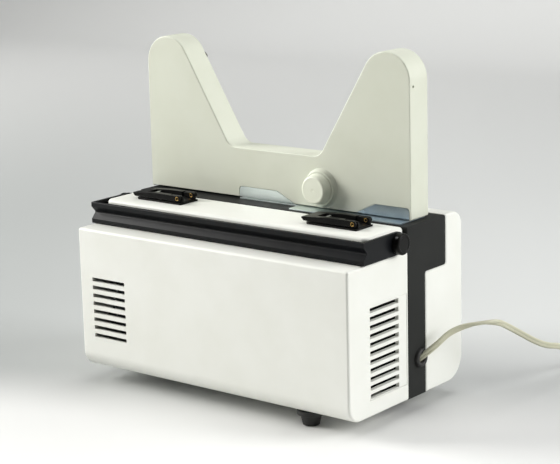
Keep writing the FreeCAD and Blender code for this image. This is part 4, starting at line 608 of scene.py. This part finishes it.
class PROJECTOR_OT_centre_frame(Step, bpy.types.Operator):
    """Black cast frame between the casings, with the deck that carries the arms"""
    bl_idname = "projector.centre_frame"
    bl_label = "Centre frame"

    def build(self, scene):
        band = film_low.y
        shelf = UNDER + 117 * mm
        rear = band_high.y
        frame_body = slab("Centre_frame", "yz", -HALF, HALF, [
            (0, UNDER, 0), (band, UNDER, 0), (band, shelf, 2.5 * mm), (rear, shelf, 2.5 * mm),
            (rear, DECK, 2.5 * mm), (0, DECK, 1.0 * mm)])
        round_edges(frame_body, 1.2 * mm, lambda a, b: near(abs(a.x), HALF) and near(a.x, b.x) and near(abs(b.x), HALF))
        wall = 3.4 * mm
        inside = HALF - wall
        hollow = [block("Lower", (-inside, 4 * mm, UNDER + wall), (inside, band + OVERRUN, shelf)),
                  block("Upper", (-inside, 4 * mm, shelf - OVERRUN), (inside, rear - wall, DECK - wall))]
        for side in SIDES:
            hollow.append(block("Film_slot", (side * 100 * mm - 8 * mm, 51.5 * mm, shelf - OVERRUN),
                                (side * 100 * mm + 8 * mm, 60.5 * mm, DECK + OVERRUN)))
        hollow.append(bar("Gland", GLAND - X * 8 * mm, GLAND + X * OVERRUN, 6.2 * mm))
        combine(frame_body, hollow)
        soften(frame_body, 0.35 * mm)
        put_on(frame_body, "frame_black", "centre_frame")


class PROJECTOR_OT_film_casing(Step, bpy.types.Operator):
    """White casing of the film side with its door, catch, tray, knobs and switch"""
    bl_idname = "projector.film_casing"
    bl_label = "Film side casing and controls"

    def build(self, scene):
        for node, body, slot, edge in (
                ("film_side_casing", "projector_body", "casing_white", 0.3 * mm),
                ("film_door", "film_door", "casing_white", 0.5 * mm),
                ("door_catch", "door_catch", "trim_black", 0.3 * mm),
                ("control_tray", "projector_body", "grey_plastic", 0.4 * mm),
                ("selector_knob", "selector", "trim_black", 0.3 * mm),
                ("framing_knob", "framing", "trim_black", 0.3 * mm)):
            put_on(soften(merged_copy(node, node.capitalize()), edge), slot, node, body=body)


class PROJECTOR_OT_reel_arms(Step, bpy.types.Operator):
    """Cream V-shaped reel arm housing with its back cover, and the clamp knob on its boss"""
    bl_idname = "projector.reel_arms"
    bl_label = "Reel arms and clamp knob"

    def corners(self, s, inset):
        left, right = arm_low.x + inset, arm_high.x - inset
        low, valley = arm_low.z + inset, UNDER + s.valley_height - inset
        tip = s.tip_radius - inset
        peak = arm_high.z - s.tip_radius + tip * (1 + math.cos(s.slope)) / math.sin(s.slope)
        run = (peak - valley) * math.tan(s.slope)
        foot = max(1.5 * mm - inset, 0)
        valley_radius = s.valley_radius + inset
        return [(left, low, foot), (left, peak, tip), (left + run, valley, valley_radius),
                (right - run, valley, valley_radius), (right, peak, tip), (right, low, foot)]

    def build(self, scene):
        s = scene.projector_arms
        front, seam, back = ARM_FRONT, cover_high.y - s.wall, cover_high.y
        outer = slab("Arm_front_shell", "xz", front, seam, self.corners(s, 0))
        round_edges(outer, s.front_edge, lambda a, b: near(a.y, front) and near(b.y, front)
                    and max(a.z, b.z) > arm_low.z + 3 * mm)
        combine(outer, [slab("Hollow", "xz", front + s.wall, back, self.corners(s, s.wall))])
        for side in SIDES:
            combine(outer, [slab("Pocket", "xz", front - OVERRUN, front + 1.35 * mm, tab_outline(side, 0.5 * mm))])
        foot = 2.2 * mm
        combine(outer, [block("Fold_room", (arm_low.x + foot, front - OVERRUN, DECK - OVERRUN),
                              (arm_high.x - foot, front + s.wall + OVERRUN, DECK + FOLD))])
        knob_x, knob_z = (knob_low.x + knob_high.x) / 2, (knob_low.z + knob_high.z) / 2
        seat = Vector((knob_x, front, knob_z))
        boss = turned("Boss", seat + Y * 0.5 * mm, -Y, X, [
            (0, 0, 0), (s.boss_radius + 0.6 * mm, 0, 0), (s.boss_radius, 0.7 * mm, 0.8 * mm),
            (17.6 * mm, 2.6 * mm, 3 * mm), (17.0 * mm, s.boss_height + 0.5 * mm, 0.9 * mm),
            (0, s.boss_height + 0.5 * mm, 0)], 64)
        combine(outer, [boss], "UNION")
        hole = Vector((arm_high.x, 24.3 * mm, 304.8 * mm))
        combine(outer, [bar("Side_hole", hole - X * 4 * mm, hole + X * OVERRUN, 1.3 * mm, 20)])
        soften(outer, 0.25 * mm)
        put_on(outer, "arm_cream", "arm_front_shell")

        cover = slab("Arm_back_cover", "xz", seam + 0.15 * mm, back, self.corners(s, 0.1 * mm))
        round_edges(cover, 1.2 * mm, lambda a, b: near(a.y, back) and near(b.y, back), 4)
        holes = [bar("Hole", Vector((x, seam - OVERRUN, arm_high.z - s.tip_radius)),
                     Vector((x, back + OVERRUN, arm_high.z - s.tip_radius)), 7.02 * mm)
                 for x in (arm_low.x + s.tip_radius, arm_high.x - s.tip_radius)]
        combine(cover, holes)
        soften(cover, 0.2 * mm)
        put_on(cover, "arm_cream", "arm_back_cover")

        face = knob_low.y
        base = seat - Y * (s.boss_height + 0.3 * mm)
        reach = base.y - face
        knob = turned("Clamp_knob", base, -Y, X, [
            (4 * mm, 0, 0), (15.2 * mm, 0, 0.3 * mm), (14.9 * mm, 1.0 * mm, 0.6 * mm), (13.9 * mm, 3.4 * mm, 3 * mm),
            (13.6 * mm, reach, 2.2 * mm), (10.6 * mm, reach - 0.35 * mm, 1.0 * mm),
            (1.6 * mm, reach - 0.35 * mm, 0.4 * mm), (0, reach - 0.9 * mm, 0)], 72)
        stem = bar("Stem", base + Y * 22 * mm, base - Y * 2 * mm, 4 * mm)
        knob = gather("Clamp_knob", [knob, stem])
        put_on(knob, "arm_cream", "clamp_knob", body="clamp", finish="knob")


class PROJECTOR_OT_bracket(Step, bpy.types.Operator):
    """Zinc plated bracket whose two tabs lie flush in the arm housing's foot"""
    bl_idname = "projector.bracket"
    bl_label = "Arm bracket"

    def build(self, scene):
        front, middle = ARM_FRONT, BRACKET_MIDDLE
        thick = 1.3 * mm
        sill = DECK + FOLD - 0.1 * mm
        parts = []
        for side in SIDES:
            (edge, *_), (_, top, corner), (flat, *_), (toe, *_) = tab_outline(side, 0)
            toe -= (toe - flat) * (sill - DECK) / (top - DECK)
            parts.append(slab("Tab", "xz", front, front + thick, [
                (edge, sill, 0), (edge, top, corner), (flat, top, 0.8 * mm), (toe, sill, 0)]))
            inner, outer = sorted((toe, edge))
            parts.append(block("Fold", (inner + 2 * mm, front + 3.2 * mm, DECK + 0.2 * mm),
                               (outer - 2 * mm, front + 4.2 * mm, DECK + 9 * mm)))
        parts.append(block("Flange", (middle - BRACKET_HALF, front + 0.2 * mm, DECK + 0.02 * mm),
                           (middle + BRACKET_HALF, front + 26 * mm, DECK + thick - 0.02 * mm)))
        parts.append(slab("Fore", "xy", DECK + 0.02 * mm, DECK + thick, [
            (middle - 27.9 * mm, front + thick, 0), (middle - 27.9 * mm, front - 15.5 * mm, 1.5 * mm),
            (middle + BRACKET_HALF, front - 15.5 * mm, 1.5 * mm), (middle + BRACKET_HALF, front + thick, 0)]))
        for part in parts:
            soften(part, 0.2 * mm)
        bracket = gather("Arm_bracket", parts)
        put_on(bracket, "zinc_steel", "arm_bracket")


class PROJECTOR_OT_carry_handle(Step, bpy.types.Operator):
    """Black carry handle: a folded bar with two flat arms and a hub cap at each end"""
    bl_idname = "projector.carry_handle"
    bl_label = "Carry handle"

    def fold(self, s, face, low, top, rim):
        """One face of the folded bar from its lower rim to its upper rim."""
        return [(face, low, rim), (face, handle_low.z + s.lip, 0.5 * mm),
                (face + s.channel, (low + top) / 2, s.fold_radius),
                (face, handle_high.z - s.lip, 0.5 * mm), (face, top, rim)]

    def build(self, scene):
        s = scene.projector_handle
        low, top, end = handle_low.z, handle_high.z, handle_high.x
        middle = (low + top) / 2
        pivot = -s.pivot_setback
        hub = pivot + (top - low) / 2
        grip = slab("Carry_handle", "yz", -end, end, self.fold(s, handle_low.y, low, top, 0.9 * mm) + [
            (hub, top, hub - pivot - 0.05 * mm), (hub, low, hub - pivot - 0.05 * mm)])
        inner = end - s.arm_thickness
        room = self.fold(s, handle_low.y + s.wall, low - OVERRUN, top + OVERRUN, 0)
        combine(grip, [slab("Room", "yz", -inner, inner, room + [
            (hub + OVERRUN, top + OVERRUN, 0), (hub + OVERRUN, low - OVERRUN, 0)])])
        soften(grip, 0.4 * mm)
        put_on(grip, "handle_black", "carry_handle", body="handle")

        caps = []
        for side in SIDES:
            base = Vector((side * end, pivot, middle))
            reach = hub_high.x - end
            cap = turned("Cap", base, X * side, Y, [
                (4.05 * mm, 0, 0), (9.6 * mm, 0, 0), (10 * mm, 1.0 * mm, 0.4 * mm), (10 * mm, reach, 1.6 * mm),
                (7.4 * mm, reach, 0.3 * mm), (6.9 * mm, reach - 0.4 * mm, 0.3 * mm), (0, reach - 0.4 * mm, 0)], 56)
            seat = base + X * side * reach / 2
            lean = (Z - Y).normalized()
            combine(cap, [bar("Seat", seat + lean * 7 * mm, seat + lean * 12 * mm, 1.55 * mm, 24)])
            caps.append(cap)
        put_on(gather("Hub_caps", caps), "trim_black", "hub_caps")


class PROJECTOR_OT_toggle_clips(Step, bpy.types.Operator):
    """Two toggle clips on the top block: base with ears, hollowed lever, brass eyelets and a steel pin"""
    bl_idname = "projector.toggle_clips"
    bl_label = "Toggle clips"

    def build(self, scene):
        s = scene.projector_clips
        y0, y1 = base_low.y, base_high.y
        bases = []
        for side, name in zip(SIDES, ("left", "right")):
            m = side * s.spacing
            x0, x1 = m - s.span / 2, m + s.span / 2
            pin_x, pin_z = x1 - PIN_INSET, DECK + PIN_RISE
            plate = slab("Plate", "xy", DECK, DECK + 1.8 * mm, [
                (x0, y0, 5 * mm), (x1, y0, 0.8 * mm), (x1, y1, 0.8 * mm), (x0, y1, 5 * mm)])
            parts = [plate]
            inner = s.cheek + 0.3 * mm
            for start_y in (y0 + inner, y1 - inner - 2.2 * mm):
                parts.append(slab("Ear", "xz", start_y, start_y + 2.2 * mm, [
                    (x1 - 15 * mm, DECK + 0.5 * mm, 0), (x1, DECK + 0.5 * mm, 0), (x1, DECK + 8.4 * mm, 2.5 * mm),
                    (x1 - 15 * mm, DECK + 8.4 * mm, 2.5 * mm)]))
            mid = (y0 + y1) / 2
            parts.append(slab("Ramp", "xz", mid - 6.8 * mm, mid + 6.8 * mm, [
                (x1 - 14.4 * mm, DECK + 0.5 * mm, 0), (x1 - 1 * mm, DECK + 0.5 * mm, 0),
                (x1 - 1 * mm, DECK + 2.6 * mm, 0.5 * mm), (x1 - 14.4 * mm, DECK + 4.6 * mm, 0.5 * mm)]))
            for part in parts:
                soften(part, 0.3 * mm)
            bases += parts

            tip, heel = x0 - 4.6 * mm, pin_x + 3.7 * mm
            span = heel - tip
            low, top = DECK + 3 * mm, DECK + s.top_height
            lever = slab("Clip_lever_" + name, "xz", y0, y1, [
                (tip, DECK + s.tip_height, 0.8 * mm), (tip + 3.6 * mm, low, 0.8 * mm), (heel, low, 2.6 * mm),
                (heel, top, 2.6 * mm), (tip + span / 2, top, 30 * mm)])
            ear_x = x1 - 15.3 * mm
            hole = Vector((tip + 0.42 * span, mid, low - OVERRUN))
            combine(lever, [
                block("Hinge_room", (ear_x, y0 + s.cheek, low - OVERRUN),
                      (heel + OVERRUN, y1 - s.cheek, top + OVERRUN)),
                block("Channel", (tip + 0.24 * span, mid - 7 * mm, DECK + 4.6 * mm),
                      (ear_x + mm, mid + 7 * mm, top + OVERRUN)),
                bar("Hole", hole, Vector((hole.x, mid, top)), 1.7 * mm, 24)])
            for level in (y0, y1 - s.cheek):
                combine(lever, [bar("Bore", Vector((pin_x, level - OVERRUN, pin_z)),
                                    Vector((pin_x, level + s.cheek + OVERRUN, pin_z)), 2.15 * mm, 28)])
            soften(lever, 0.4 * mm)
            body = name + "_clip"
            put_on(lever, "trim_black", "clip_lever_" + name, body=body)
            axis = Vector((tip + 0.33 * span, mid, DECK + 5.7 * mm))
            stud = bar("Clip_stud_" + name, axis - Y * 7.5 * mm, axis + Y * 7.5 * mm, 1.1 * mm, 24)
            put_on(soften(stud, 0.25 * mm), "bright_steel", "clip_stud_" + name, body=body)
        put_on(gather("Clip_bases", bases), "trim_black", "clip_bases")

        eyelets = []
        for side in SIDES:
            pin_x, pin_z = side * s.spacing + s.span / 2 - PIN_INSET, DECK + PIN_RISE
            reach = s.cheek + 2.5 * mm
            for outside, way in ((y0, Y), (y1, -Y)):
                start_at = Vector((pin_x, outside, pin_z)) - way * 0.25 * mm
                eyelets.append(turned("Eyelet", start_at, way, X, [
                    (1.15 * mm, 0.3 * mm, 0), (1.4 * mm, 0, 0.15 * mm), (s.eyelet_radius, 0, 0.3 * mm),
                    (s.eyelet_radius, reach + 0.5 * mm, 0.3 * mm), (1.4 * mm, reach + 0.5 * mm, 0.15 * mm),
                    (1.15 * mm, reach + 0.2 * mm, 0), (1.15 * mm, 0.3 * mm, 0)], 28))
        put_on(gather("Clip_eyelets", eyelets), "brass", "clip_pins")


class PROJECTOR_OT_feet(Step, bpy.types.Operator):
    """Three stepped rubber feet: two under the lamp end, one under the lens end"""
    bl_idname = "projector.feet"
    bl_label = "Feet"

    def build(self, scene):
        radius = 13.2 * mm
        lamp_end = feet_high.x - radius
        feet = []
        for x, y in ((lamp_end, feet_low.y + radius), (lamp_end, feet_high.y - radius), (-lamp_end, film_low.y / 2)):
            feet.append(turned("Foot", Vector((x, y, 0)), Z, X, [
                (0, 0.4 * mm, 0), (5.2 * mm, 0.4 * mm, 0.4 * mm), (5.8 * mm, 0, 0.3 * mm), (7.8 * mm, 0, 1.2 * mm),
                (10.2 * mm, 10 * mm, 0.8 * mm), (12.9 * mm, 10 * mm, 1.0 * mm), (radius, 14.8 * mm, 0.3 * mm),
                (0, 14.98 * mm, 0)], 48))
        put_on(gather("Rubber_feet", feet), "rubber", "rubber_feet")


class PROJECTOR_OT_mains_lead(Step, bpy.types.Operator):
    """Flat two-core mains lead with its grommet, put-away coil and plug"""
    bl_idname = "projector.mains_lead"
    bl_label = "Mains lead and plug"

    def coil_spot(self, s, turn):
        """It spirals in on the floor, climbs on to itself and spirals out."""
        half = s.coil_turns / 2
        radius = s.coil_radius - COIL_PITCH * (half - abs(half - turn))
        level = s.thickness / 2 + 0.2 * mm + (s.thickness + 0.2 * mm) * eased((turn - half) / 0.5 + 0.5)
        angle = math.pi - 2 * math.pi * turn
        return COIL_MIDDLE + Vector((radius * math.cos(angle), radius * math.sin(angle), level))

    def coil_way(self, s, turn):
        way = self.coil_spot(s, turn + 0.001) - self.coil_spot(s, turn - 0.001)
        return Vector((way.x, way.y, 0)).normalized()

    def route(self, s):
        """The lead's turning points, from inside its grommet to its plug."""
        leave = Vector((0.1655, 0.0195, 0.0515))
        heading = Vector((0.72, 0.3, 0.62)).normalized()
        landing = self.coil_spot(s, 0)
        spots = [leave - heading * 2.4 * mm, leave + heading * 15.5 * mm, Vector((0.1842, 0.048, 0.0765)),
                 Vector((0.2124, 0.075, 0.0819)), Vector((0.2096, 0.108, 0.0662)), Vector((0.2234, 0.146, 0.0409)),
                 Vector((0.2232, 0.184, 0.0323)), landing - self.coil_way(s, 0) * 36 * mm]
        count = round(s.coil_turns * 16)
        spots += [self.coil_spot(s, s.coil_turns * index / count) for index in range(count + 1)]
        way = self.coil_way(s, s.coil_turns)
        end = spots[-1]
        plug_level = 6.85 * mm
        spots += [end + way * 10 * mm, end + way * 23 * mm + Z * (plug_level - end.z),
                  end + way * 33.5 * mm + Z * (plug_level - end.z)]
        return spots, leave

    def smooth_line(self, spots):
        curve = bpy.data.curves.new("Lead_route", "CURVE")
        curve.dimensions = "3D"
        spline = curve.splines.new("NURBS")
        spline.points.add(len(spots) - 1)
        for knot, spot in zip(spline.points, spots):
            knot.co = (*spot, 1)
        spline.order_u = 3
        spline.use_endpoint_u = True
        spline.resolution_u = 8
        holder = bpy.data.objects.new("Lead_route", curve)
        mesh = bpy.data.meshes.new_from_object(holder)
        line = [vertex.co.copy() for vertex in mesh.vertices]
        bpy.data.objects.remove(holder)
        bpy.data.meshes.remove(mesh)
        return line

    def tube(self, s, line):
        """A two-lobed section carried along the line, turning over as the real lead does."""
        lobe = s.lobe
        offset = s.width / 2 - lobe
        reach = math.pi - math.acos(offset / lobe) - 0.02
        section = []
        for side in (1, -1):
            for index in range(9):
                angle = reach * (index / 4 - 1) + (0 if side == 1 else math.pi)
                section.append((side * offset + lobe * math.cos(angle), lobe * math.sin(angle)))
        on_edge = math.radians(85)
        flat_at, flat_spread = 70 * mm, 15 * mm
        down_at, down_over = 260 * mm, 70 * mm
        verts, faces, travelled = [], [], 0
        for index, spot in enumerate(line):
            ahead = (line[min(index + 1, len(line) - 1)] - line[max(index - 1, 0)]).normalized()
            if index:
                travelled += (spot - line[index - 1]).length
            level = ahead.cross(Z).normalized()
            upright = level.cross(ahead).normalized()
            flat = math.exp(-((travelled - flat_at) / flat_spread) ** 2)
            turn = on_edge * (1 - 0.85 * flat) * eased((down_at - travelled) / down_over)
            across = level * math.cos(turn) + upright * math.sin(turn)
            rise = upright * math.cos(turn) - level * math.sin(turn)
            verts += [spot + across * u + rise * v for u, v in section]
        count = len(section)
        for index in range(len(line) - 1):
            for part in range(count):
                a, b = index * count + part, index * count + (part + 1) % count
                faces.append((a, b, b + count, a + count))
        faces.append(tuple(range(count)))
        faces.append(tuple(reversed(range((len(line) - 1) * count, len(line) * count))))
        mesh = bpy.data.meshes.new("Mains_lead")
        mesh.from_pydata([tuple(v) for v in verts], [], faces)
        piece = add_object("Mains_lead", mesh)
        edit(piece)
        seal()
        return piece

    def build(self, scene):
        s = scene.projector_lead
        spots, leave = self.route(s)
        line = self.smooth_line(spots)
        lead = put_on(self.tube(s, line), "lead_vinyl", "mains_lead", "lead_coil")
        plug = soften(merged_copy("plug_body", "Plug_body"), 0.3 * mm)
        put_on(plug, "plug_plastic", "plug_body")

        proud = grommet_high.x - HALF
        neck = 5.4 * mm
        base = GLAND - X * neck
        ring = turned("Lead_grommet", base, X, Z, [
            (4.4 * mm, 0, 0), (7.8 * mm, 0, 0), (7.8 * mm, 2 * mm, 0), (6.15 * mm, 2 * mm, 0), (6.15 * mm, neck, 0),
            (8.8 * mm, neck, 0), (8.8 * mm, neck + proud, 1.7 * mm), (4.9 * mm, neck + proud, 1.5 * mm),
            (4.4 * mm, neck, 0.5 * mm), (4.4 * mm, 0, 0)], 48)
        put_on(ring, "rubber", "lead_grommet")


class PROJECTOR_OT_dress_nodes(Step, bpy.types.Operator):
    """Give every solid that keeps its own shape the finish of its material slot"""
    bl_idname = "projector.dress_nodes"
    bl_label = "Finishes of the inner parts"

    def build(self, scene):
        look = finishes()
        for part in frame["record"]["subparts"]:
            node = frame["nodes"][part["node"]]
            node.data.materials.clear()
            node.data.materials.append(look[part["material_slot"]])


class PROJECTOR_OT_stage(Step, bpy.types.Operator):
    """Pale floor that sweeps up behind, with painted shade and painted light on it, soft studio lights and the camera
    """
    bl_idname = "projector.stage"
    bl_label = "Stage, lights and camera"

    def build(self, scene):
        look = scene.projector_finish
        low, wall = -0.2 * mm, 3.2
        floor = trace("Floor", X * -3, Y, Z, [(-4, low, 0), (wall, low, 1.2), (wall, 4, 0)], closed=False)
        bpy.ops.mesh.select_all(action="SELECT")
        draw_out(X * 7)
        seal()
        material, tree, place = start("Pale_paper_floor")
        paper = add(tree, "TexNoise", {"Scale": 1 / 0.4, "Detail": 3}, {"Vector": (place, "Object")})
        tint = add(tree, "Mix", {"data_type": "RGBA", 6: look.floor, 7: linear("#DCDDDC")}, {0: (paper, "Fac")})

        def ramp(way, near, far, low=0.0, high=1.0):
            """A smooth run from low to high over a stretch of the floor, measured along a direction."""
            run = add(tree, "VectorMath", {"operation": "DOT_PRODUCT", 1: way}, {0: (place, "Object")})
            return add(tree, "MapRange", {"interpolation_type": "SMOOTHSTEP", "From Min": near, "From Max": far,
                                                    "To Min": low, "To Max": high}, {"Value": (run, "Value")})

        away = (-0.627, 0.779, 0)
        # painted shade: the grey behind the projector's front line stands in for its shadow and the fall of the light
        # there, darker to the left where the painted shadow of the projector lies
        middle = add(tree, "Mix", {"data_type": "RGBA", 6: linear("#A2A5A4"), 7: linear("#C4C6C5")},
                     {0: (ramp((0.779, 0.627, 0), -0.45, 0.35), "Result")})
        # painted shade: the pale near floor turns to that grey just behind the projector's front line
        tint = add(tree, "Mix", {"data_type": "RGBA"},
                   {0: (ramp((-0.487, 0.892, 0), -0.12, 0.05), "Result"), 6: (tint, 2), 7: (middle, 2)})
        # painted light: the far backdrop turns lighter again
        tint = add(tree, "Mix", {"data_type": "RGBA", 7: linear("#F3F4F3")},
                   {0: (ramp(away, 0.7, 3.0), "Result"), 6: (tint, 2)})
        # painted glow: the far backdrop glows for camera rays in place of light that would reach it
        ray = add(tree, "LightPath")
        glow = add(tree, "Math", {"operation": "MULTIPLY"},
                   {0: (ray, "Is Camera Ray"), 1: (ramp(away, 1.6, 3.2, 0.0, 0.08), "Result")})
        close(tree, add(tree, "BsdfPrincipled", {"Roughness": 0.8, "Emission Color": (0.98, 1.0, 0.99, 1.0)},
                        {"Base Color": (tint, 2), "Emission Strength": (glow, "Value")}))
        floor.data.materials.append(material)

        world = scene.world or bpy.data.worlds.new("World")
        scene.world = world
        world.use_nodes = True
        world.node_tree.nodes["Background"].inputs["Color"].default_value = linear("#FAFAF8")
        world.node_tree.nodes["Background"].inputs["Strength"].default_value = 0.1
        for name, spot, aim, size, power, tint in (
                ("Right_softbox", (2.14, 1.09, 1.1), (0, 0, 0.15), 1.4, 57, "#FFFFFF"),
                ("Left_softbox", (-2.4, -1.1, 1.3), (0, 0, 0.15), 1.6, 122, "#FFFEFB"),
                ("Overhead_softbox", (0.1, 0.3, 2.4), (0, 0, 0.1), 1.6, 25, "#FFFFFF")):
            light = bpy.data.lights.new(name, "AREA")
            light.shape = "SQUARE"
            light.size = size
            light.energy = power
            light.color = linear(tint)[:3]
            lamp = add_object(name, light)
            lamp.location = spot
            lamp.rotation_euler = (Vector(aim) - Vector(spot)).to_track_quat("-Z", "Y").to_euler()

        azimuth, elevation, roll = math.radians(38.828), math.radians(12.878), math.radians(-1.448)
        back = Vector((math.sin(azimuth) * math.cos(elevation), -math.cos(azimuth) * math.cos(elevation),
                       math.sin(elevation)))
        level = (-back).cross(Z).normalized()
        upright = level.cross(-back)
        right = level * math.cos(roll) + upright * math.sin(roll)
        up = upright * math.cos(roll) - level * math.sin(roll)
        camera_data = bpy.data.cameras.new("Camera")
        camera_data.lens = 113.92
        camera_data.sensor_width = 36
        camera_data.clip_end = 20
        camera = add_object("Camera", camera_data)
        camera.matrix_world = Matrix.Translation(Vector((0.01681, 0, 0.1572)) + back * 1.7062) @ Matrix(
            (right, up, back)).transposed().to_4x4()
        scene.camera = camera
        scene.view_settings.view_transform = "Standard"


class PROJECTOR_PT_panel(bpy.types.Panel):
    """Sizes, colours and building steps of the projector"""
    bl_idname = "PROJECTOR_PT_panel"
    bl_label = "Cine projector"
    bl_space_type = "VIEW_3D"
    bl_region_type = "UI"
    bl_category = "Projector"

    def draw(self, context):
        for step in STEPS:
            self.layout.operator(step.bl_idname)
        for group in SETTINGS:
            column = self.layout.box().column()
            settings = getattr(context.scene, group)
            for key in settings.bl_rna.properties.keys():
                if key not in ("rna_type", "name"):
                    column.prop(settings, key)


STEPS = (PROJECTOR_OT_stage, PROJECTOR_OT_dress_nodes, PROJECTOR_OT_mains_lead, PROJECTOR_OT_drive_casing,
         PROJECTOR_OT_exhaust_grille, PROJECTOR_OT_centre_frame, PROJECTOR_OT_film_casing, PROJECTOR_OT_reel_arms,
         PROJECTOR_OT_bracket, PROJECTOR_OT_carry_handle, PROJECTOR_OT_toggle_clips, PROJECTOR_OT_feet)
SETTINGS = {"projector_casing": CasingSettings, "projector_grille": GrilleSettings, "projector_arms": ArmSettings,
            "projector_handle": HandleSettings, "projector_clips": ClipSettings, "projector_lead": LeadSettings,
            "projector_finish": FinishSettings}


def register():
    for kind in (*SETTINGS.values(), *STEPS, PROJECTOR_PT_panel):
        bpy.utils.register_class(kind)
    for name, group in SETTINGS.items():
        setattr(bpy.types.Scene, name, bpy.props.PointerProperty(type=group))


def unregister():
    for name in SETTINGS:
        delattr(bpy.types.Scene, name)
    for kind in (PROJECTOR_PT_panel, *reversed(STEPS), *SETTINGS.values()):
        bpy.utils.unregister_class(kind)


def main():
    register()
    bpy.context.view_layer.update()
    for step in STEPS:
        group, name = step.bl_idname.split(".")
        getattr(getattr(bpy.ops, group), name)()


if __name__ == "__main__":
    main()
